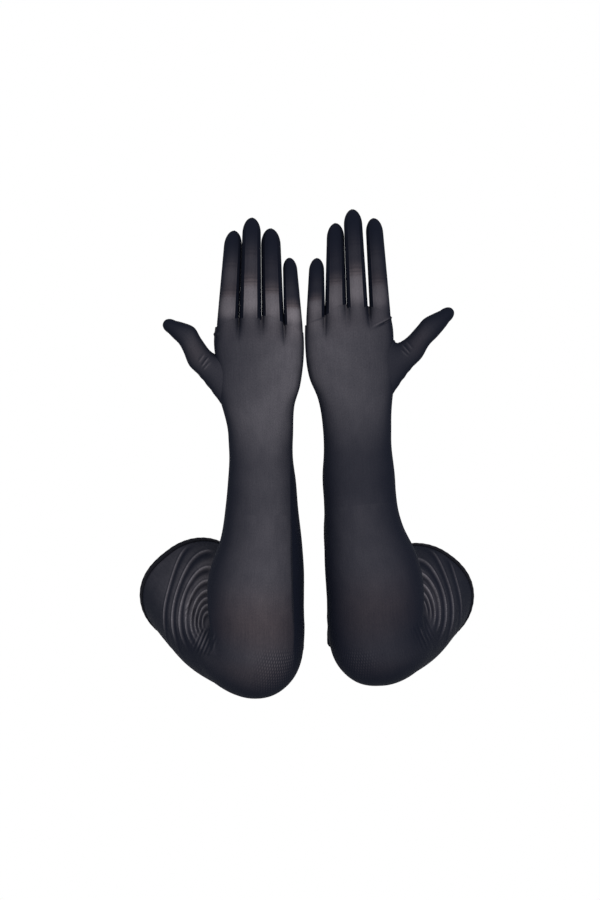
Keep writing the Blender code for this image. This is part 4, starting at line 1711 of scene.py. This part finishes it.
class Thumb:
    """The thumb with its gusset, which spreads onto the edge of the hand."""

    def __init__(self, pose: Pose, finishes: Wardrobe) -> None:
        """Keeps the thumb's joint and tip, and spaces its columns evenly.

        Args:
            pose: the glove's pose.
            finishes: its finishes.
        """
        self.pose = pose
        self.finishes = finishes
        self.joint = np.array(pose.size.thumb_joint) * MM
        self.tip = np.array(pose.size.thumb_tip) * MM
        self.turn = np.arange(CLOTH.thumb_columns) * (2 * math.pi / CLOTH.thumb_columns)

    def ring(self, centre: Array, along: Array, wide: float, deep: float) -> Array:
        """A level-looking ring round the thumb: its first axis points palmwards.

        Args:
            centre: its centre.
            along: the thumb's direction there.
            wide: half its width.
            deep: half its depth.

        Returns:
            The ring's points.
        """
        up = unit(np.cross(along, [0, 1, 0]))
        palm = unit(np.cross(up, along))
        across, through = wide * np.sin(self.turn)[:, None], deep * np.cos(self.turn)[:, None]
        return centre + across * up + through * palm

    def surface(self) -> tuple[Surface, Array]:
        """A smooth loft through rings: two in the hand, the gusset, the two segments, the tip.

        Returns:
            The surface, and each row's place along the loft.
        """
        height = THUMB_PIVOT[2] + 25 * MM * np.sin(self.turn)
        deep = 11.5 * MM * np.cos(self.turn)
        width, depth, shift = (curve_through(height, HAND[:, 0], HAND[:, k]) for k in (1, 2, 3))
        power = 2 / HAND_SQUARENESS
        out = shift + width * (1 - np.abs(deep / depth) ** power) ** (1 / power)
        shift = np.array([self.pose.size.thumb_shift[0], 0, self.pose.size.thumb_shift[1]]) * MM
        foot = np.stack([out - 0.6 * MM, deep, height], -1) + shift * (0, 0, 0.9)
        along = unit(self.joint - THUMB_START)
        bend = unit(self.tip - self.joint)
        r = THUMB_RADIUS
        start = self.ring(THUMB_START + shift, along, r * 1.20, r * 1.02)
        rings, places = [foot - np.array([9, 0, 0]) * MM, foot], [0.0, 1.0]
        for share in (0.18, 0.38, 0.62):
            narrow = share * (2 - share)
            centre = foot.mean(0) + (start.mean(0) - foot.mean(0)) * share
            shape = (foot - foot.mean(0)) * (1 - narrow) + (start - start.mean(0)) * narrow
            rings.append(centre + shape)
            places.append(1 + 1.6 * share)
        mid = unit(along + bend)
        length = float(np.linalg.norm(self.tip - self.joint))
        rings += [
            start,
            self.ring((THUMB_START + shift * 0.8 + self.joint) / 2, along, r * 1.06, r * 0.98),
            self.ring(self.joint, mid, r * 1.05, r * 0.98),
            self.ring(self.joint + bend * length * 0.35, bend, r * 0.87, r * 0.88),
            self.ring(self.joint + bend * length * 0.62, bend, r * 0.68, r * 0.72),
        ]
        places += [2.6, 3.1, 3.7, 4.1, 4.45]
        at = np.linspace(0, 4.45, 84)
        body = curve_through(at, places, np.array(rings))
        bow = np.linspace(0, math.pi / 2, 14)[1:-1]
        last = rings[-1]
        centre = last.mean(0)
        cap = [
            centre + bend * (length * 0.38 * math.sin(a)) + (last - centre) * math.cos(a) ** 0.9
            for a in bow
        ]
        grid = np.concatenate([body, np.array(cap)])
        places_out = np.concatenate([at, 4.45 + 0.55 * np.sin(bow)])
        surface = Surface(self.pose.from_hand(grid))
        return surface, places_out

    def build(self) -> list[bpy.types.Object]:
        """The base with its gusset, and the end.

        Returns:
            The two objects.
        """
        surface, places = self.surface()
        local = (surface.points - self.pose.wrist) @ self.pose.hand.T / MM
        back = smoothstep(0.0, 0.6, -surface.normals[..., 1])
        height, light = np.zeros_like(back), np.zeros_like(back)
        x, z = local[..., 0], local[..., 2]
        for start, end, strong in THUMB_CREASES:
            off, run = beside_line(x, z, start, end)
            fade = smoothstep(-0.1, 0.3, run) * (1 - smoothstep(0.75, 1.2, run)) * back * strong
            height += (0.6 * ridge(off, 0.8) - 0.5 * ridge(off - 1.6, 0.9)) * fade
            # Painted highlight along each crease and painted shade just beside it.
            light += (2.2 * ridge(off, 0.6) - 0.7 * ridge(off - 1.5, 0.9)) * fade
        along = places[:, None]
        height += 0.18 * np.sin(along * 26) * ridge(along - 3.7, 0.22) * back
        height += 0.22 * np.sin(along * 21 + np.sin(self.turn)) * ridge(along - 1.6, 0.5) * (1 - back)
        tone = curve_through(places, (0, 1.0, 1.7, 2.4, 3.1, 3.6, 4.0, 4.5, 5.0), (
            0.065, 0.060, 0.050, 0.062, 0.066, 0.048, 0.025, 0.010, 0.005))
        tone = tone * (1.0 if self.pose.size.side < 0 else 0.6)
        # Painted highlights and painted shade of the creases scale how much shows through.
        shade = np.where(light > 0, 1 + light, np.maximum(0.15, 1 + light))
        surface.sheer = np.clip(tone[:, None] * shade, 0.001, 0.9)
        surface.warm = 0.25 * ridge(along - 2.8, 0.6) + 0 * back
        surface = surface.raise_by(height * MM)
        row = int(np.searchsorted(places, 3.05))
        knit, inside = self.finishes.knit.build(), self.finishes.inside.build()
        made = []
        for ending, rows in ((False, slice(0, row + 1)), (True, slice(row, None))):
            part = surface.rows(rows)
            pole = self.pose.from_hand(self.tip) if ending else None
            name = "thumb_end" if ending else "thumb_base"
            made.append(Piece(self.pose, name).shell(part, knit, inside, pole=pole))
        return made

    def dress(self, pieces: list[bpy.types.Object]) -> None:
        """Bakes the placement of the base and the end into their meshes and hides the solids that they
        replace.

        Args:
            pieces: the base and the end.
        """
        side, pose = self.pose.size.name, self.pose
        base, end_piece = pieces
        reach = THUMB_START - THUMB_PIVOT
        tuple(pose.row(pose.from_hand(THUMB_PIVOT)))
        tuple(pose.row(pose.from_hand(THUMB_PIVOT + reach * 0.95)))
        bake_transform(base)
        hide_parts(f"{side}_thumb_gusset", f"{side}_thumb_base")
        up = unit(self.tip - THUMB_START)
        tuple(pose.row(pose.from_hand(self.joint - up * 7 * MM)))
        tuple(pose.row(pose.from_hand(self.joint + up * 7 * MM)))
        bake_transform(end_piece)
        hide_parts(f"{side}_thumb_tip")


# ---------------------------------------------------------------- seam


class SideSeam:
    """The overlocked seam up the little-finger side of the forearm."""

    def __init__(self, pose: Pose, finishes: Wardrobe) -> None:
        """Keeps the pose and the finishes."""
        self.pose = pose
        self.finishes = finishes

    def build(self) -> bpy.types.Object:
        """A low half-round welt whose centre runs along the edge of the dark strip.

        Returns:
            The new object.
        """
        pose = self.pose
        height = np.linspace(24 * MM, 116 * MM, 120)
        centre = self._centre(height)
        rise = 0.55 * MM
        across = np.linspace(-1, 1, 9)
        turn = across * 0.9 * MM / CLOTH.elbow_radius
        lift = np.sqrt(np.clip(1 - across**2, 0, 1)) * rise
        bulge = 1 + 0.12 * np.sin(height / (1.6 * MM) * math.pi)
        ends = smoothstep(height[0], height[0] + 14 * MM, height)
        ends = ends * smoothstep(height[-1], height[-1] - 14 * MM, height)
        bulge = bulge * ends
        angle = centre[:, None] + turn[None, :]
        high = height[:, None] + 0 * angle
        skin = pose.forearm(high, angle)
        middle = pose.elbow + high[..., None] * pose.fore
        away = skin - middle
        away /= np.linalg.norm(away, axis=-1, keepdims=True)
        outer = skin + away * (lift[None, :] * bulge[:, None])[..., None]
        sunk = skin - away * (0.10 + 0.15 * ends[:, None, None]) * MM
        ring = np.concatenate([outer, sunk[:, ::-1]], axis=1)
        rows, columns = ring.shape[:2]
        faces = grid_faces(rows, columns, True).tolist()
        faces += [list(range(columns))[::-1], list(range((rows - 1) * columns, rows * columns))]
        name = f"{pose.size.name}_seam_welt"
        mesh = bpy.data.meshes.new(name)
        mesh.from_pydata(pose.row(ring.reshape(-1, 3)).tolist(), [], faces)
        layer = mesh.uv_layers.new(name="UVMap")
        u = np.tile(np.linspace(0, 4 * MM, columns), rows)
        v = np.repeat(height, columns)
        loops = np.empty(len(mesh.loops), np.int32)
        mesh.loops.foreach_get("vertex_index", loops)
        layer.data.foreach_set("uv", np.stack([u, v], -1)[loops].astype(np.float32).reshape(-1))
        mesh.materials.append(self.finishes.seam.build())
        face_out(mesh)
        mesh.shade_smooth()
        obj = bpy.data.objects.new(name, mesh)
        bpy.context.scene.collection.objects.link(obj)
        return obj

    def _centre(self, height: Array) -> Array:
        """The angle at each height where the forearm's front crosses the strip's edge.

        Args:
            height: up the forearm.

        Returns:
            An angle for each height.
        """
        pose = self.pose
        angle = np.radians(np.linspace(0, 360, 1441))[None, :] + 0 * height[:, None]
        p = pose.forearm(height[:, None] + 0 * angle, angle)
        inside = pose.behind_seam(p / MM)
        front = (p[..., 1] < 0) & (p[..., 0] < pose.elbow[0] + height[:, None] * pose.fore[0])
        off = np.where(front, np.abs(inside - 0.5), 9)
        return angle[np.arange(len(height)), off.argmin(axis=1)]

    def dress(self, obj: bpy.types.Object) -> None:
        """The welt rides on the forearm.

        Args:
            obj: the welt.
        """
        side = self.pose.size.name
        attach(obj, f"{side}_forearm")
        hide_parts(f"{side}_side_seam")


class GloveBuilder:
    """Builds one glove from its parts."""

    def __init__(self, size: GloveSize) -> None:
        """Sets up the pose and the finishes."""
        self.pose = Pose(size)
        self.finishes = wardrobe()

    def build(self) -> None:
        """Makes, dresses and reports every piece of the glove."""
        name = self.pose.size.name
        sleeve = Sleeve(self.pose, self.finishes)
        cloth = sleeve.build()
        sleeve.dress(cloth)
        LOG.info("%s sleeve: %d faces", name, len(cloth.data.polygons))
        hem = Hem(self.pose, self.finishes)
        band, stitches = hem.build(), hem.stitches()
        hem.dress(band, stitches)
        LOG.info("%s hem: %d faces", name, len(band.data.polygons))
        seam = SideSeam(self.pose, self.finishes)
        seam.dress(seam.build())
        LOG.info("%s side seam", name)
        hand = Hand(self.pose, self.finishes)
        cloth = hand.build()
        hand.dress(cloth)
        LOG.info("%s hand: %d faces", name, len(cloth.data.polygons))
        for size in self.pose.size.fingers:
            finger = Finger(self.pose, size, self.finishes)
            strips = finger.build()
            finger.dress(strips)
            LOG.info("%s %s finger: %d strips", name, size.name, len(strips))
        thumb = Thumb(self.pose, self.finishes)
        thumb.dress(thumb.build())
        LOG.info("%s thumb", name)


# ---------------------------------------------------------------- studio


@dataclass(frozen=True)
class Studio:
    """A pale floor, soft light and the camera."""

    floor_height: float = -0.37
    floor_half: float = 0.75
    view_height: float = 0.81  # what the frame takes in at the forearms, top to bottom
    distance: float = 5.0

    def build(self) -> None:
        """Adds the floor, the lights, the surroundings and the camera."""
        self._floor()
        self._light("key", (1.3, -2.4, 1.3), (0, -0.12, 0.12), 1.5, 34)
        self._light("fill", (-2.2, -1.6, 0.9), (0, -0.12, 0.12), 2.0, 8)
        world = bpy.data.worlds.new("surroundings")
        world.use_nodes = True
        world.node_tree.nodes["Background"].inputs["Color"].default_value = (1, 1, 1, 1)
        world.node_tree.nodes["Background"].inputs["Strength"].default_value = 1.0
        bpy.context.scene.world = world
        bpy.context.scene.view_settings.view_transform = "Standard"
        camera = bpy.data.cameras.new("camera")
        camera.sensor_fit = "VERTICAL"
        camera.sensor_height = 36
        camera.lens = 36 * self.distance / self.view_height
        camera.clip_end = 100
        holder = bpy.data.objects.new("camera", camera)
        holder.location = (-3.6 * MM, -127 * MM - self.distance, 126.3 * MM)
        holder.rotation_euler = (math.pi / 2, 0, 0)
        bpy.context.scene.collection.objects.link(holder)
        bpy.context.scene.camera = holder

    def _floor(self) -> None:
        """A round pale disc with a softly rounded rim."""
        angle = np.arange(96) * (2 * math.pi / 96)
        radii = np.array([0.0001, 0.3, 0.6, 0.97, 0.99, 1.0, 1.0, 0.0001]) * self.floor_half
        drops = np.array([0, 0, 0, 0, -0.004, -0.012, -0.03, -0.03]) + self.floor_height
        grid = np.stack(
            [
                radii[:, None] * np.cos(angle), radii[:, None] * np.sin(angle),
                drops[:, None] + 0 * angle,
            ],
            -1,
        )
        faces = grid_faces(len(radii), len(angle), True).tolist()
        last = (len(radii) - 1) * len(angle)
        faces += [list(range(len(angle))), list(range(last, last + len(angle)))]
        mesh = bpy.data.meshes.new("floor")
        mesh.from_pydata(grid.reshape(-1, 3).tolist(), [], faces)
        face_out(mesh)
        mesh.materials.append(Plaster().build())
        obj = bpy.data.objects.new("floor", mesh)
        bpy.context.scene.collection.objects.link(obj)

    @staticmethod
    def _light(
        name: str, place: Sequence[float], aim: Sequence[float], size: float, power: float
    ) -> None:
        """A square area light turned to its aim.

        Args:
            name: the light's name.
            place: where it stands.
            aim: what it faces.
            size: the length of its side.
            power: its power in watts.
        """
        light = bpy.data.lights.new(name, "AREA")
        light.size, light.energy = size, power
        obj = bpy.data.objects.new(name, light)
        toward = unit(np.subtract(aim, place))
        level = math.hypot(toward[0], toward[1])
        obj.location = place
        obj.rotation_euler = (
            math.pi / 2 + math.atan2(toward[2], level), 0,
            math.atan2(toward[1], toward[0]) - math.pi / 2,
        )
        bpy.context.scene.collection.objects.link(obj)


def main() -> None:
    logging.basicConfig(level=logging.INFO, format="%(message)s")
    for size in (RIGHT, LEFT):
        GloveBuilder(size).build()
    Studio().build()
    bpy.context.view_layer.update()


if __name__ == "__main__":
    main()
